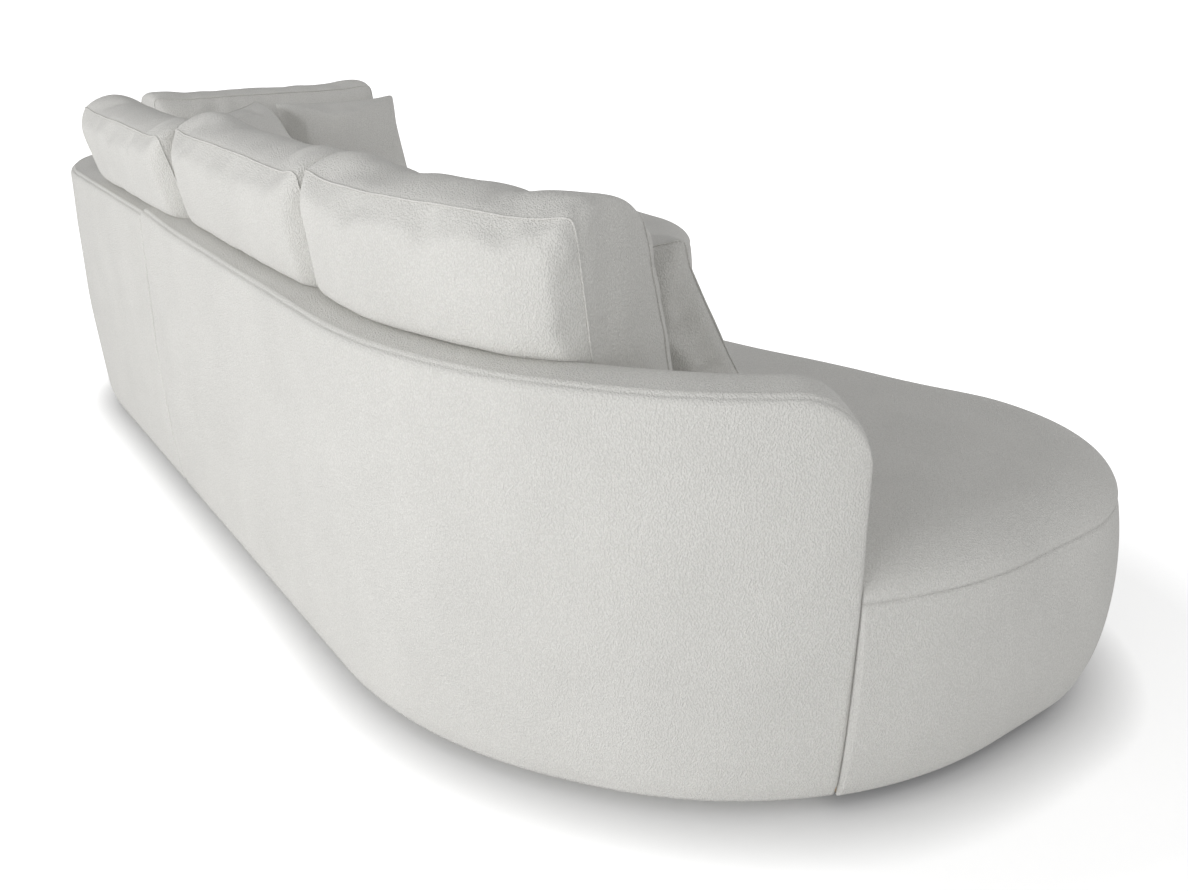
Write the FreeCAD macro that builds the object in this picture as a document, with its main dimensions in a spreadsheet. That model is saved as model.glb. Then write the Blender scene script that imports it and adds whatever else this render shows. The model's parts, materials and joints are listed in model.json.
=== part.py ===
import FreeCAD, Part
import math
import os
import re
import Sketcher

# Corner sofa: a long module and a chaise module that push together, with seven loose cushions.
# Frame: +Z up, origin on the floor under the middle of the sofa's box.
# The long module's back is on +Y and its open end on -X; the chaise's back is on +X.
# In the sheet, "along" is measured from the chaise's back line towards the long module's open end,
# and "out" from the long module's back line towards the front.

V = FreeCAD.Vector
UP = V(0, 0, 1)
doc = FreeCAD.newDocument("corner_sofa")
dims = doc.addObject("Spreadsheet::Sheet", "dims")

SIZES = [
    ("total_length", 2920),
    ("total_reach", 1740),
    ("joint_along", 1150),
    ("joint_gap", 2),
    ("seat_depth", 970),
    ("wall_thickness", 110),
    ("wall_top", 690),
    ("seat_top", 435),
    ("hem_height", 30),
    ("corner_radius", 520),
    ("bend_radius", 800),
    ("bend_angle", 35.5),
    ("bend_run", 552),
    ("tip_radius", 740),
    ("nose_radius", 308),
    ("flare_angle", 17.5),
    ("flare_run", 418),
    ("flare_out", 1200),
    ("sweep_radius", 1500),
    ("wall_end_heading", 66),
    ("chaise_flare_angle", 6),
    ("chaise_flare_out", 1000),
    ("chaise_sweep_radius", 600),
    ("tail_radius", 800),
    ("chaise_wall_out", 930),
    ("long_mid_along", 2060),
    ("long_mid_out", 470),
    ("chaise_mid_along", 560),
    ("chaise_mid_out", 560),
    ("fabric", 4),
    ("ease", 1),
    ("seam_gap", 1),
    ("seat_round", 60),
    ("wall_end_round", 56),
    ("wall_outer_round", 18),
    ("wall_inner_round", 42),
    ("foot_height", 32),
    ("foot_radius", 30),
    ("foot_recess_radius", 8),
    ("foot_recess_depth", 20),
    ("screw_radius", 2.5),
    ("screw_head_radius", 6),
    ("screw_head_height", 4),
    ("screw_bite", 14),
    ("bore_clearance", 0.3),
    ("dust_thickness", 1.5),
    ("panel_thickness", 18),
    ("panel_inset", 6),
    ("rail_width", 30),
    ("rail_top", 230),
    ("rail_inset", 40),
    ("rail_wall_gap", 30),
    ("bearer_width", 22),
    ("bearer_height", 130),
    ("strap_width", 55),
    ("strap_pitch", 96),
    ("strap_thickness", 2),
    ("strap_margin", 4),
    ("back_rail_inset", 33),
    ("back_rail_height", 18),
    ("back_rail_top", 618),
    ("post_width", 60),
    ("cushion_height", 458),
    ("chaise_cushion_height", 428),
    ("cushion_round", 40),
    ("cushion_end_round", 30),
    ("cushion_back_line", 52),
    ("cushion_top_front", 92),
    ("cushion_low_front", 106),
    ("cushion_back_bow", 1500),
    ("cushion_front_bow", 500),
    ("cushion_top_bow", 130),
    ("cushion_under_bow", 600),
    ("cushion_lift", 0.6),
    ("cushion_gap", 2),
    ("cushion_fabric", 3),
    ("cushion_axis", 400),
    ("near_cushion_sweep", 49.5),
    ("near_cushion_heading", 15.5),
    ("near_cushion_room", 926),
    ("middle_cushion_start", 1362),
    ("corner_cushion_length", 652),
    ("corner_cushion_along", 1030),
    ("chaise_cushion_length", 676),
    ("chaise_cushion_out", 620),
    ("chaise_cushion_along", 205),
    ("scatter_half", 200),
    ("scatter_shoulder", 181),
    ("scatter_face", 124),
    ("scatter_crown", 60),
    ("scatter_shoulder_level", 28),
    ("scatter_face_level", 62),
    ("scatter_crown_level", 72),
    ("scatter_draw_in", 14),
    ("scatter_bow", 12),
    ("scatter_edge", 500),
    ("connector_reach", 45),
    ("connector_width", 70),
    ("connector_plate", 4),
    ("connector_length", 60),
    ("tongue_width", 30),
    ("tongue_depth", 8),
    ("tongue_clearance", 0.5),
    ("socket_wall", 6),
    ("connector_screw_along", 40),
    ("connector_screw_out", 26),
]

# Sizes that follow from the ones above
DERIVED = [
    ("half_length", "=total_length / 2"),
    ("half_reach", "=total_reach / 2"),
    ("long_mid_x", "=half_length - long_mid_along"),
    ("long_mid_y", "=half_reach - long_mid_out"),
    ("chaise_mid_x", "=half_length - chaise_mid_along"),
    ("chaise_mid_y", "=half_reach - chaise_mid_out"),
    ("long_back", "=long_mid_out"),
    ("long_bend", "=(total_length - bend_run - long_mid_along) * sin(bend_angle * 1 deg)"
                  " + long_mid_out * cos(bend_angle * 1 deg)"),
    ("long_tip", "=total_length - long_mid_along"),
    ("long_flare", "=(long_mid_along - total_length + flare_run) * sin(flare_angle * 1 deg)"
                   " + (flare_out - long_mid_out) * cos(flare_angle * 1 deg)"),
    ("long_front", "=seat_depth - long_mid_out"),
    ("long_joint", "=long_mid_along - joint_along - joint_gap / 2"),
    ("chaise_back", "=chaise_mid_out"),
    ("chaise_joint", "=joint_along - chaise_mid_along - joint_gap / 2"),
    ("chaise_flare", "=(joint_along - chaise_mid_along) * cos(chaise_flare_angle * 1 deg)"
                     " + (chaise_mid_out - chaise_flare_out) * sin(chaise_flare_angle * 1 deg)"),
    ("chaise_tip", "=total_reach - chaise_mid_out"),
    ("chaise_side", "=chaise_mid_along"),
    ("bend_along", "=total_length - bend_run - bend_radius * tan(bend_angle * 0.5 deg)"),
    ("bend_x", "=half_length - bend_along"),
    ("bend_y", "=half_reach - bend_radius"),
    ("tip_out", "=bend_run * tan(bend_angle * 1 deg) + tip_radius * tan((90 - bend_angle) * 0.5 deg)"),
    ("tip_x", "=tip_radius - half_length"),
    ("tip_y", "=half_reach - tip_out"),
    ("dust_bottom", "=foot_height"),
    ("panel_bottom", "=dust_bottom + dust_thickness"),
    ("panel_top", "=panel_bottom + panel_thickness"),
    ("foam_floor", "=panel_top + ease"),
    ("rail_wall_inset", "=wall_thickness + rail_wall_gap"),
    ("strap_top", "=rail_top + strap_thickness"),
    ("cushion_base", "=seat_top + cushion_lift"),
    ("hem_room", "=joint_gap / 2 + fabric + ease"),
    ("near_cushion_axis", "=bend_radius - wall_thickness - cushion_gap"),
    ("middle_cushion_length", "=total_length - near_cushion_room - middle_cushion_start"),
    ("middle_cushion_along", "=middle_cushion_start + middle_cushion_length / 2"),
]


def fill_sheet():
    row = 0
    for alias, value in SIZES + DERIVED:
        row += 1
        dims.set("A%d" % row, alias)
        dims.set("B%d" % row, str(value))
        dims.setAlias("B%d" % row, alias)
    doc.recompute()


ALIASES = {alias for alias, value in SIZES + DERIVED}


def tie(text):
    """An expression in sheet names, with each name made a reference to its cell."""
    return re.sub(r"[a-z][a-z_]*", lambda m: "dims." + m.group() if m.group() in ALIASES else m.group(), text)


def size(text):
    """The present value of such an expression."""
    return float(dims.evalExpression(tie("(%s) * 1" % text)))


def bind(thing, prop, text):
    thing.setExpression(prop, tie(text))


fill_sheet()

# Each module's outline, anticlockwise from above: heading of the edge, distance from the module's middle
# to the edge, and the radius that rounds the corner to the next edge, positive where it bulges out.
OUTLINES = {
    "long": [
        ("180", "long_back", "bend_radius", 1),
        ("bend_angle - 180", "long_bend", "tip_radius", 1),
        ("-90", "long_tip", "nose_radius", 1),
        ("flare_angle", "long_flare", "sweep_radius", -1),
        ("0", "long_front", None, 0),
        ("90", "long_joint", None, 0),
    ],
    "chaise": [
        ("180", "chaise_back", None, 0),
        ("-90", "chaise_joint", "chaise_sweep_radius", -1),
        ("-90 - chaise_flare_angle", "chaise_flare", "nose_radius", 1),
        ("0", "chaise_tip", "tail_radius", 1),
        ("90", "chaise_side", "corner_radius", 1),
    ],
}


def sketch_on(body, role, name):
    sketch = body.newObject("Sketcher::SketchObject", name)
    plane = [f for f in body.Origin.OriginFeatures if f.Role == role][0]
    sketch.AttachmentSupport = [(plane, "")]
    sketch.MapMode = "FlatFace"
    return sketch


def pin(sketch, constraint, text=None):
    index = sketch.addConstraint(constraint)
    if text is not None:
        bind(sketch, "Constraints[%d]" % index, text)


def cross(a, b):
    return a.x * b.y - a.y * b.x


def arc_between(centre, radius, start, end):
    """The anticlockwise arc about the centre from start to end."""
    first = math.atan2(start.y - centre.y, start.x - centre.x)
    last = math.atan2(end.y - centre.y, end.x - centre.x)
    return Part.ArcOfCircle(Part.Circle(centre, UP, radius), first, last)


def outline_sketch(body, name, module, insets, level):
    """A module's outline moved in by its own inset on each edge, at a level."""
    edges = OUTLINES[module]
    count = len(edges)
    after = [(i + 1) % count for i in range(count)]
    reach = ["%s - (%s)" % (edges[i][1], insets[i]) for i in range(count)]
    radii = []
    for i, edge in enumerate(edges):
        deeper = max(insets[i], insets[after[i]], key=size)
        radii.append(edge[2] and "%s - (%d) * (%s)" % (edge[2], edge[3], deeper))
    ways = []
    feet = []
    for i in range(count):
        turn = math.radians(size(edges[i][0]))
        ways.append(V(math.cos(turn), math.sin(turn), 0))
        feet.append(V(math.sin(turn), -math.cos(turn), 0) * size(reach[i]))
    starts = [None] * count
    ends = [None] * count
    arcs = [None] * count
    for i in range(count):
        j = after[i]
        corner = feet[i] + ways[i] * (cross(feet[j] - feet[i], ways[j]) / cross(ways[i], ways[j]))
        if radii[i] is None:
            ends[i] = corner
            starts[j] = corner
            continue
        radius = size(radii[i])
        turn = math.atan2(cross(ways[i], ways[j]), ways[i].dot(ways[j]))
        cut = radius * math.tan(abs(turn) / 2)
        ends[i] = corner - ways[i] * cut
        starts[j] = corner + ways[j] * cut
        side = 1 if turn > 0 else -1
        centre = ends[i] + V(-ways[i].y, ways[i].x, 0) * radius * side
        arcs[i] = (centre, radius, side)
    sketch = sketch_on(body, "XY_Plane", name)
    lines = [sketch.addGeometry(Part.LineSegment(starts[i], ends[i]), False) for i in range(count)]
    for i in range(count):
        j = after[i]
        if arcs[i] is None:
            pin(sketch, Sketcher.Constraint("Coincident", lines[i], 2, lines[j], 1))
            continue
        centre, radius, side = arcs[i]
        points = (ends[i], starts[j]) if side > 0 else (starts[j], ends[i])
        arc = sketch.addGeometry(arc_between(centre, radius, *points), False)
        first, last = (1, 2) if side > 0 else (2, 1)
        pin(sketch, Sketcher.Constraint("Tangent", lines[i], 2, arc, first))
        pin(sketch, Sketcher.Constraint("Tangent", arc, last, lines[j], 1))
        pin(sketch, Sketcher.Constraint("Radius", arc, radius), radii[i])
    for i in range(count):
        heading = edges[i][0]
        if heading in ("0", "180"):
            pin(sketch, Sketcher.Constraint("Horizontal", lines[i]))
        elif heading in ("90", "-90"):
            pin(sketch, Sketcher.Constraint("Vertical", lines[i]))
        else:
            angle = Sketcher.Constraint("Angle", lines[i], math.radians(size(heading)))
            pin(sketch, angle, "(%s) * 1 deg" % heading)
        pin(sketch, Sketcher.Constraint("Distance", -1, 1, lines[i], size(reach[i])), reach[i])
    bind(sketch, "AttachmentOffset.Base.x", module + "_mid_x")
    bind(sketch, "AttachmentOffset.Base.y", module + "_mid_y")
    bind(sketch, "AttachmentOffset.Base.z", level)
    return sketch


def new_body(name):
    return doc.addObject("PartDesign::Body", name)


def pad_up(body, sketch, low, high):
    pad = body.newObject("PartDesign::Pad", body.Name + "_pad")
    pad.Profile = sketch
    bind(pad, "Length", "(%s) - (%s)" % (high, low))
    doc.recompute()
    return pad


def pocket_through(body, sketch):
    pocket = body.newObject("PartDesign::Pocket", body.Name + "_pocket")
    pocket.Profile = sketch
    pocket.Type = "ThroughAll"
    before = body.Shape.Volume
    doc.recompute()
    if not body.Shape.Volume < before:
        raise RuntimeError(body.Name + ": the pocket removes nothing")
    return pocket


def round_edges(body, base, picks, radius):
    fillet = body.newObject("PartDesign::Fillet", body.Name + "_round")
    fillet.Base = (base, ["Edge%d" % (i + 1) for i, edge in enumerate(base.Shape.Edges) if picks(edge)])
    bind(fillet, "Radius", radius)
    doc.recompute()
    return fillet


def level_edge(edge, height):
    box = edge.BoundBox
    return abs(box.ZMin - height) < 0.01 and abs(box.ZMax - height) < 0.01


def even(inset, module):
    """One inset on every edge of a module's outline."""
    return [inset] * len(OUTLINES[module])


def slab(name, module, insets, low, high, round_top=None):
    """A module's outline raised from one level to another, its top edge rounded except at the joint."""
    body = new_body(name)
    pad = pad_up(body, outline_sketch(body, name + "_outline", module, insets, low), low, high)
    if round_top:
        joint = size("half_length - joint_along")
        top = size(high)

        def soft(edge):
            return level_edge(edge, top) and abs(edge.CenterOfMass.x - joint) > 20

        round_edges(body, pad, soft, round_top)
    return body


PUSHED_OUT = "-60"


def strip(name, module, near, far, low, high, shift="0", joint="0", rounds=None):
    """The band of a module's outline that the back wall takes, between two insets, up to its free end.
    shift moves the free end on along the wall, and joint moves the end at the joint in."""
    long_one = module == "long"
    outer = [near, near, near, "0", "0", joint] if long_one else [near, joint, "0", "0", near]
    inner = [far, far, far] + [PUSHED_OUT] * 3 if long_one else [far] + [PUSHED_OUT] * 3 + [far]
    body = new_body(name)
    pad_up(body, outline_sketch(body, name + "_outer", module, outer, low), low, high)
    pocket_through(body, outline_sketch(body, name + "_inner", module, inner, high))
    trim = sketch_on(body, "XY_Plane", name + "_trim")
    wide = 1600
    deep = "1500 + (%s)" % shift
    corners = [V(0, 0, 0), V(wide, 0, 0), V(wide, size(deep), 0), V(0, size(deep), 0)]
    lines = []
    for k in range(4):
        lines.append(trim.addGeometry(Part.LineSegment(corners[k], corners[(k + 1) % 4]), False))
    for k in range(4):
        pin(trim, Sketcher.Constraint("Coincident", lines[k], 2, lines[(k + 1) % 4], 1))
    pin(trim, Sketcher.Constraint("Coincident", -1, 1, lines[0], 1))
    for k in (0, 2):
        pin(trim, Sketcher.Constraint("Horizontal", lines[k]))
    for k in (1, 3):
        pin(trim, Sketcher.Constraint("Vertical", lines[k]))
    pin(trim, Sketcher.Constraint("DistanceX", lines[0], 1, lines[0], 2, wide))
    pin(trim, Sketcher.Constraint("DistanceY", lines[1], 1, lines[1], 2, size(deep)), deep)
    if long_one:
        heading = "wall_end_heading * 1 deg"
        bind(trim, "AttachmentOffset.Base.x", "tip_x - (%s) * cos(%s)" % (shift, heading))
        bind(trim, "AttachmentOffset.Base.y", "tip_y - (%s) * sin(%s)" % (shift, heading))
        trim.AttachmentOffset.Rotation = FreeCAD.Rotation(UP, size("wall_end_heading + 90"))
        bind(trim, "AttachmentOffset.Rotation.Angle", "(wall_end_heading + 90) * 1 deg")
    else:
        bind(trim, "AttachmentOffset.Base.x", "half_length - chaise_mid_along + 1000")
        bind(trim, "AttachmentOffset.Base.y", "half_reach - chaise_wall_out - (%s)" % shift)
        trim.AttachmentOffset.Rotation = FreeCAD.Rotation(UP, 180)
        bind(trim, "AttachmentOffset.Rotation.Angle", "180 deg")
    bind(trim, "AttachmentOffset.Base.z", high)
    last = pocket_through(body, trim)
    if rounds is None:
        return body
    top = size(high)
    if long_one:
        middle = size("tip_radius - wall_thickness / 2")
        angle = math.radians(size("wall_end_heading + 90"))
        end = V(size("tip_x") + middle * math.cos(angle), size("tip_y") + middle * math.sin(angle), top)
    else:
        end = V(size("half_length - wall_thickness / 2"), size("half_reach - chaise_wall_out"), top)

    def at_end(edge):
        return level_edge(edge, top) and edge.Length < 160 and edge.CenterOfMass.distanceToPoint(end) < 30

    last = round_edges(body, last, at_end, rounds[0])
    for inset, radius in ((near, rounds[1]), (far, rounds[2])):
        line = size("half_reach - (%s)" % inset)

        def along(edge):
            straight = level_edge(edge, top) and edge.BoundBox.YLength < 0.01
            return straight and abs(edge.CenterOfMass.y - line) < 0.01

        last = round_edges(body, last, along, radius)
    return body


def cut(label, base, tool):
    made = doc.addObject("Part::Cut", label)
    made.Base = base
    made.Tool = tool
    return made


def common(label, base, tool):
    made = doc.addObject("Part::Common", label)
    made.Base = base
    made.Tool = tool
    return made


def group(label, links):
    made = doc.addObject("Part::Compound", label)
    made.Links = links
    return made


def fuse(label, first, second):
    made = doc.addObject("Part::Fuse", label)
    made.Base = first
    made.Tool = second
    return made


def place(thing, along, out, height, angle="0"):
    """Puts a primitive at a place on the plan, turned about the vertical."""
    thing.Placement = FreeCAD.Placement(V(0, 0, 0), FreeCAD.Rotation(UP, 1))
    bind(thing, "Placement.Base.x", "half_length - (%s)" % along)
    bind(thing, "Placement.Base.y", "half_reach - (%s)" % out)
    bind(thing, "Placement.Base.z", height)
    bind(thing, "Placement.Rotation.Angle", "(%s) * 1 deg" % angle)


def block(name, along, out, height, length, width, tall, angle="0"):
    """A board whose near corner is at the place; length runs along +X and width along +Y before turning."""
    made = doc.addObject("Part::Box", name)
    bind(made, "Length", length)
    bind(made, "Width", width)
    bind(made, "Height", tall)
    place(made, along, out, height, angle)
    return made


def pegs(name, spots, height, radius, tall):
    """One upright cylinder at each spot, as a group."""
    made = []
    for k, (along, out) in enumerate(spots):
        peg = doc.addObject("Part::Cylinder", "%s_%d" % (name, k))
        bind(peg, "Radius", radius)
        bind(peg, "Height", tall)
        place(peg, along, out, height)
        made.append(peg)
    return group(name, made)


def screw_set(label, spots, seat_level):
    """Screws driven up through a piece into the base panel: head under the seat level."""
    low = "(%s) - screw_head_height" % seat_level
    heads = pegs(label + "_heads", spots, low, "screw_head_radius", "screw_head_height")
    tall = "panel_bottom + screw_bite - (%s)" % low
    shanks = pegs(label + "_shanks", spots, low, "screw_radius", tall)
    return fuse(label, heads, shanks)


NODES = []


def keep(thing, label):
    thing.Label = label
    NODES.append(thing)
    return thing


# Where the hidden pieces of each module stand on the plan
PLAN = {
    "long": {
        "feet": [("1260", "130"), ("1260", "860"), ("1960", "130"), ("1960", "890"),
                 ("total_length - 280", "420"), ("total_length - 280", "1000")],
        "bearers": [1480, 1820, 2160, 2500],
        "straps": 15,
        "straps_from": "1230",
    },
    "chaise": {
        "feet": [("300", "300"), ("1040", "130"), ("1040", "860"), ("200", "900"),
                 ("560", "total_reach - 180"), ("1000", "total_reach - 300")],
        "bearers": [330, 620, 910],
        "straps": 10,
        "straps_from": "190",
    },
}


CONNECTORS = [("a", "240"), ("b", "760")]


def connector_spots(module):
    """Two screws either side of each connector, on the module's own side of the joint."""
    side = "+" if module == "long" else "-"
    along = "joint_along %s connector_screw_along" % side
    return [(along, "%s %s connector_screw_out" % (out, sign)) for tag, out in CONNECTORS for sign in "+-"]


def post_spots(module):
    """Posts stand across the wall: (turning centre, its distance to the wall's outer face, heading)."""
    if module == "long":
        straight = [("joint_along + 90", "0", "0"), ("joint_along + 490", "0", "0"), ("bend_along", "0", "0")]
        bent = [("bend", "bend_radius", "22"), ("tip", "tip_radius", "42"), ("tip", "tip_radius", "60")]
        return straight, bent
    straight = [("joint_along - 90", "0", "0"), ("corner_radius + 20", "0", "0")]
    return straight, [("corner", "corner_radius", "-45"), ("corner", "corner_radius", "-88")]


def back_posts(module):
    """Upright boards from bottom rail to top rail, cut to the band that the rails take."""
    low = "panel_top + back_rail_height"
    tall = "back_rail_top - panel_top - 2 * back_rail_height"
    straight, bent = post_spots(module)
    made = []
    for k, (along, out, turn) in enumerate(straight):
        name = "%s_post_%d" % (module, k)
        made.append(block(name, along + " + post_width / 2", "wall_thickness", low, "post_width",
                          "wall_thickness", tall))
    for k, (about, reach, heading) in enumerate(bent):
        turn = "(%s + 90) * 1 deg" % heading
        if about == "corner":
            centre = ("corner_radius", "corner_radius")
        else:
            centre = (("half_length - %s_x" % about), ("half_reach - %s_y" % about))
        start = "(%s - wall_thickness)" % reach
        along = "%s - %s * cos(%s) - post_width / 2 * sin(%s)" % (centre[0], start, turn, turn)
        out = "%s - %s * sin(%s) + post_width / 2 * cos(%s)" % (centre[1], start, turn, turn)
        name = "%s_bent_post_%d" % (module, k)
        made.append(block(name, along, out, low, "wall_thickness", "post_width", tall, "%s + 90" % heading))
    far = "wall_thickness - back_rail_inset"
    band = strip(module + "_post_band", module, "back_rail_inset", far, low, low + " + " + tall,
                 "-back_rail_inset", "back_rail_inset")
    return common(module + "_back_posts", group(module + "_posts", made), band)


def module_edges(module, wall_side, free_side, joint_side):
    """Insets of a seat-frame outline: along the wall, along the free edges, at the joint."""
    if module == "long":
        return [wall_side] * 3 + [free_side] * 2 + [joint_side]
    return [wall_side, joint_side, free_side, free_side, wall_side]


def seat_block(name, module, inset, low, high, round_top=None):
    """The seat's share of the outline, clear of the back wall."""
    whole = slab(name + "_slab", module, even(inset, module), low, high, round_top)
    wall = strip(name + "_wall", module, "-20", "wall_thickness + seam_gap + (%s)" % inset,
                 "(%s) - 5" % low, "(%s) + 5" % high, "seam_gap + (%s)" % inset, "-20")
    return cut(name, whole, wall)


def upholstered_module(module):
    hem = "hem_height"
    inner = "fabric"
    foam = "fabric + ease"
    # Base panel, dust cover, feet and their screws
    feet = PLAN[module]["feet"]
    spots = feet + connector_spots(module)
    bores = pegs(module + "_bores", spots, "0", "screw_radius + bore_clearance",
                 "panel_bottom + screw_bite + bore_clearance")
    panel = slab(module + "_panel_slab", module, even("panel_inset", module), "panel_bottom", "panel_top")
    keep(cut(module + "_base_panel_cut", panel, bores), module + "_base_panel")
    dust = slab(module + "_dust_slab", module, even("panel_inset", module), "dust_bottom", "panel_bottom")
    keep(cut(module + "_dust_cut", dust, bores), module + "_dust_cover")
    discs = pegs(module + "_discs", feet, "0", "foot_radius", "foot_height")
    recess = pegs(module + "_recess", feet, "0", "foot_recess_radius", "foot_recess_depth")
    keep(cut(module + "_feet_cut", cut(module + "_feet_recess", discs, recess), bores), module + "_feet")
    keep(screw_set(module + "_screws", feet, "foot_recess_depth"), module + "_foot_screws")
    # Seat frame: rails round the seat, bearers across it, straps over it
    rim = module_edges(module, "rail_wall_inset", "rail_inset", "rail_inset")
    core = ["%s + rail_width" % inset for inset in rim]
    rails_solid = slab(module + "_rail_slab", module, rim, "panel_top", "rail_top")
    rails_core = slab(module + "_rail_core", module, core, "panel_top - 5", "rail_top + 5")
    keep(cut(module + "_rails_cut", rails_solid, rails_core), module + "_seat_rails")
    boards = []
    for k, along in enumerate(PLAN[module]["bearers"]):
        boards.append(block("%s_board_%d" % (module, k), str(along), "total_reach", "panel_top", "bearer_width",
                            "total_reach", "bearer_height"))
    keep(common(module + "_bearer_cut", group(module + "_boards", boards), rails_core), module + "_seat_bearers")
    straps = []
    for k in range(PLAN[module]["straps"]):
        along = "%s + %d * strap_pitch" % (PLAN[module]["straps_from"], k)
        straps.append(block("%s_strap_%d" % (module, k), along, "total_reach", "rail_top", "strap_width",
                            "total_reach", "strap_thickness"))
    cover_rim = ["%s + strap_margin" % inset for inset in rim]
    strap_field = slab(module + "_strap_field", module, cover_rim, "rail_top - 5", "strap_top + 5")
    keep(common(module + "_strap_cut", group(module + "_strap_rows", straps), strap_field), module + "_webbing")
    # Seat: padding round the rails, foam over the straps, cover over both
    fill = seat_block(module + "_fill", module, foam, "foam_floor", "rail_top")
    rail_room = slab(module + "_rail_room", module, ["%s - ease" % inset for inset in rim], "0", "seat_top")
    keep(cut(module + "_padding_cut", fill, rail_room), module + "_skirt_padding")
    keep(seat_block(module + "_foam", module, foam, "strap_top + ease", "seat_top - fabric - ease",
                    "seat_round - fabric - ease"), module + "_seat_foam")
    skin = seat_block(module + "_skin", module, "0", hem, "seat_top", "seat_round")
    hollow = seat_block(module + "_hollow", module, inner, "%s - 5" % hem, "seat_top - fabric",
                        "seat_round - fabric")
    panel_room = slab(module + "_panel_room", module, even("fabric + ease / 2", module), "0",
                      "panel_top + ease / 2")
    shell = cut(module + "_seat_shell", skin, hollow)
    keep(cut(module + "_seat_cover_cut", shell, panel_room), module + "_seat_cover")
    # Back wall: rails and posts inside, foam over them, cover over the foam
    rail_far = "wall_thickness - back_rail_inset"
    rail_end = ("-back_rail_inset", "back_rail_inset")
    keep(strip(module + "_low_rail", module, "back_rail_inset", rail_far, "panel_top",
               "panel_top + back_rail_height", *rail_end), module + "_back_bottom_rail")
    keep(back_posts(module), module + "_back_posts")
    keep(strip(module + "_high_rail", module, "back_rail_inset", rail_far, "back_rail_top - back_rail_height",
               "back_rail_top", *rail_end), module + "_back_top_rail")
    rounds = ("wall_end_round", "wall_outer_round", "wall_inner_round")
    inner_rounds = ["%s - fabric" % r for r in rounds]
    foam_rounds = ["%s - fabric - ease" % r for r in rounds]
    bulk = strip(module + "_bulk", module, foam, "wall_thickness - (%s)" % foam, "foam_floor",
                 "wall_top - fabric - ease", "-(%s)" % foam, foam, foam_rounds)
    room = strip(module + "_frame_room", module, "back_rail_inset - ease", rail_far + " + ease", "0",
                 "back_rail_top + ease", "ease - back_rail_inset", "back_rail_inset - ease")
    keep(cut(module + "_back_foam_cut", bulk, room), module + "_back_foam")
    wall = strip(module + "_wall", module, "0", "wall_thickness", hem, "wall_top", "0", "0", rounds)
    lining = strip(module + "_lining", module, inner, "wall_thickness - fabric", "%s - 5" % hem,
                   "wall_top - fabric", "-fabric", inner, inner_rounds)
    wall_shell = cut(module + "_wall_shell", wall, lining)
    keep(cut(module + "_wall_cover_cut", wall_shell, panel_room), module + "_back_cover")


def cushion_sketch(body, axis, inset, tall):
    """Cross-section of a back cushion: four bowed sides joined by four round corners.
    The back is at the axis distance, the front nearer the axis."""
    back = "(%s) - cushion_back_line" % axis
    low = "cushion_round + cushion_lift"
    high = "%s - cushion_round" % tall
    corners = [(back, low), (back, high), ("(%s) - cushion_top_front" % axis, high),
               ("(%s) - cushion_low_front" % axis, low)]
    bows = ["cushion_back_bow", "cushion_top_bow", "cushion_front_bow", "cushion_under_bow"]
    small = "cushion_round - (%s)" % inset
    spots = [V(size(x), size(z), 0) for x, z in corners]
    middles = []
    leave = []
    reach = []
    for k in range(4):
        here = spots[k]
        there = spots[(k + 1) % 4]
        way = there - here
        outward = V(way.y, -way.x, 0)
        outward.normalize()
        arm = size(bows[k]) - size("cushion_round")
        middle = (here + there) * 0.5 - outward * math.sqrt(arm * arm - way.Length * way.Length / 4)
        middles.append(middle)
        leave.append(here + (here - middle) * (size(small) / arm))
        reach.append(there + (there - middle) * (size(small) / arm))
    sketch = sketch_on(body, "XZ_Plane", body.Name + "_section")
    sides = []
    rounds = []
    for k in range(4):
        radius = size("%s - (%s)" % (bows[k], inset))
        sides.append(sketch.addGeometry(arc_between(middles[k], radius, leave[k], reach[k]), False))
    for k in range(4):
        arc = arc_between(spots[k], size(small), reach[k - 1], leave[k])
        rounds.append(sketch.addGeometry(arc, False))
    for k in range(4):
        pin(sketch, Sketcher.Constraint("Tangent", rounds[k], 2, sides[k], 1))
        pin(sketch, Sketcher.Constraint("Tangent", sides[k], 2, rounds[(k + 1) % 4], 1))
    for k in range(4):
        pin(sketch, Sketcher.Constraint("DistanceX", -1, 1, rounds[k], 3, spots[k].x), corners[k][0])
        pin(sketch, Sketcher.Constraint("DistanceY", -1, 1, rounds[k], 3, spots[k].y), corners[k][1])
        pin(sketch, Sketcher.Constraint("Radius", rounds[k], size(small)), small)
        bow = "%s - (%s)" % (bows[k], inset)
        pin(sketch, Sketcher.Constraint("Radius", sides[k], size(bow)), bow)
    return sketch


def end_edges(shape):
    """The edges round the flat ends of a cushion blank."""
    marks = set()
    for face in shape.Faces:
        if face.Surface.TypeId == "Part::GeomPlane":
            for edge in face.Edges:
                marks.add(edge.hashCode())
    return marks


def straight_cushion(name, inset, length, tall="cushion_height"):
    body = new_body(name)
    pad = body.newObject("PartDesign::Pad", name + "_pad")
    pad.Profile = cushion_sketch(body, "cushion_axis", inset, tall)
    pad.SideType = "Symmetric"
    bind(pad, "Length", "%s - 2 * (%s)" % (length, inset))
    doc.recompute()
    marks = end_edges(pad.Shape)
    round_edges(body, pad, lambda edge: edge.hashCode() in marks, "cushion_end_round - (%s)" % inset)
    return body


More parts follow.
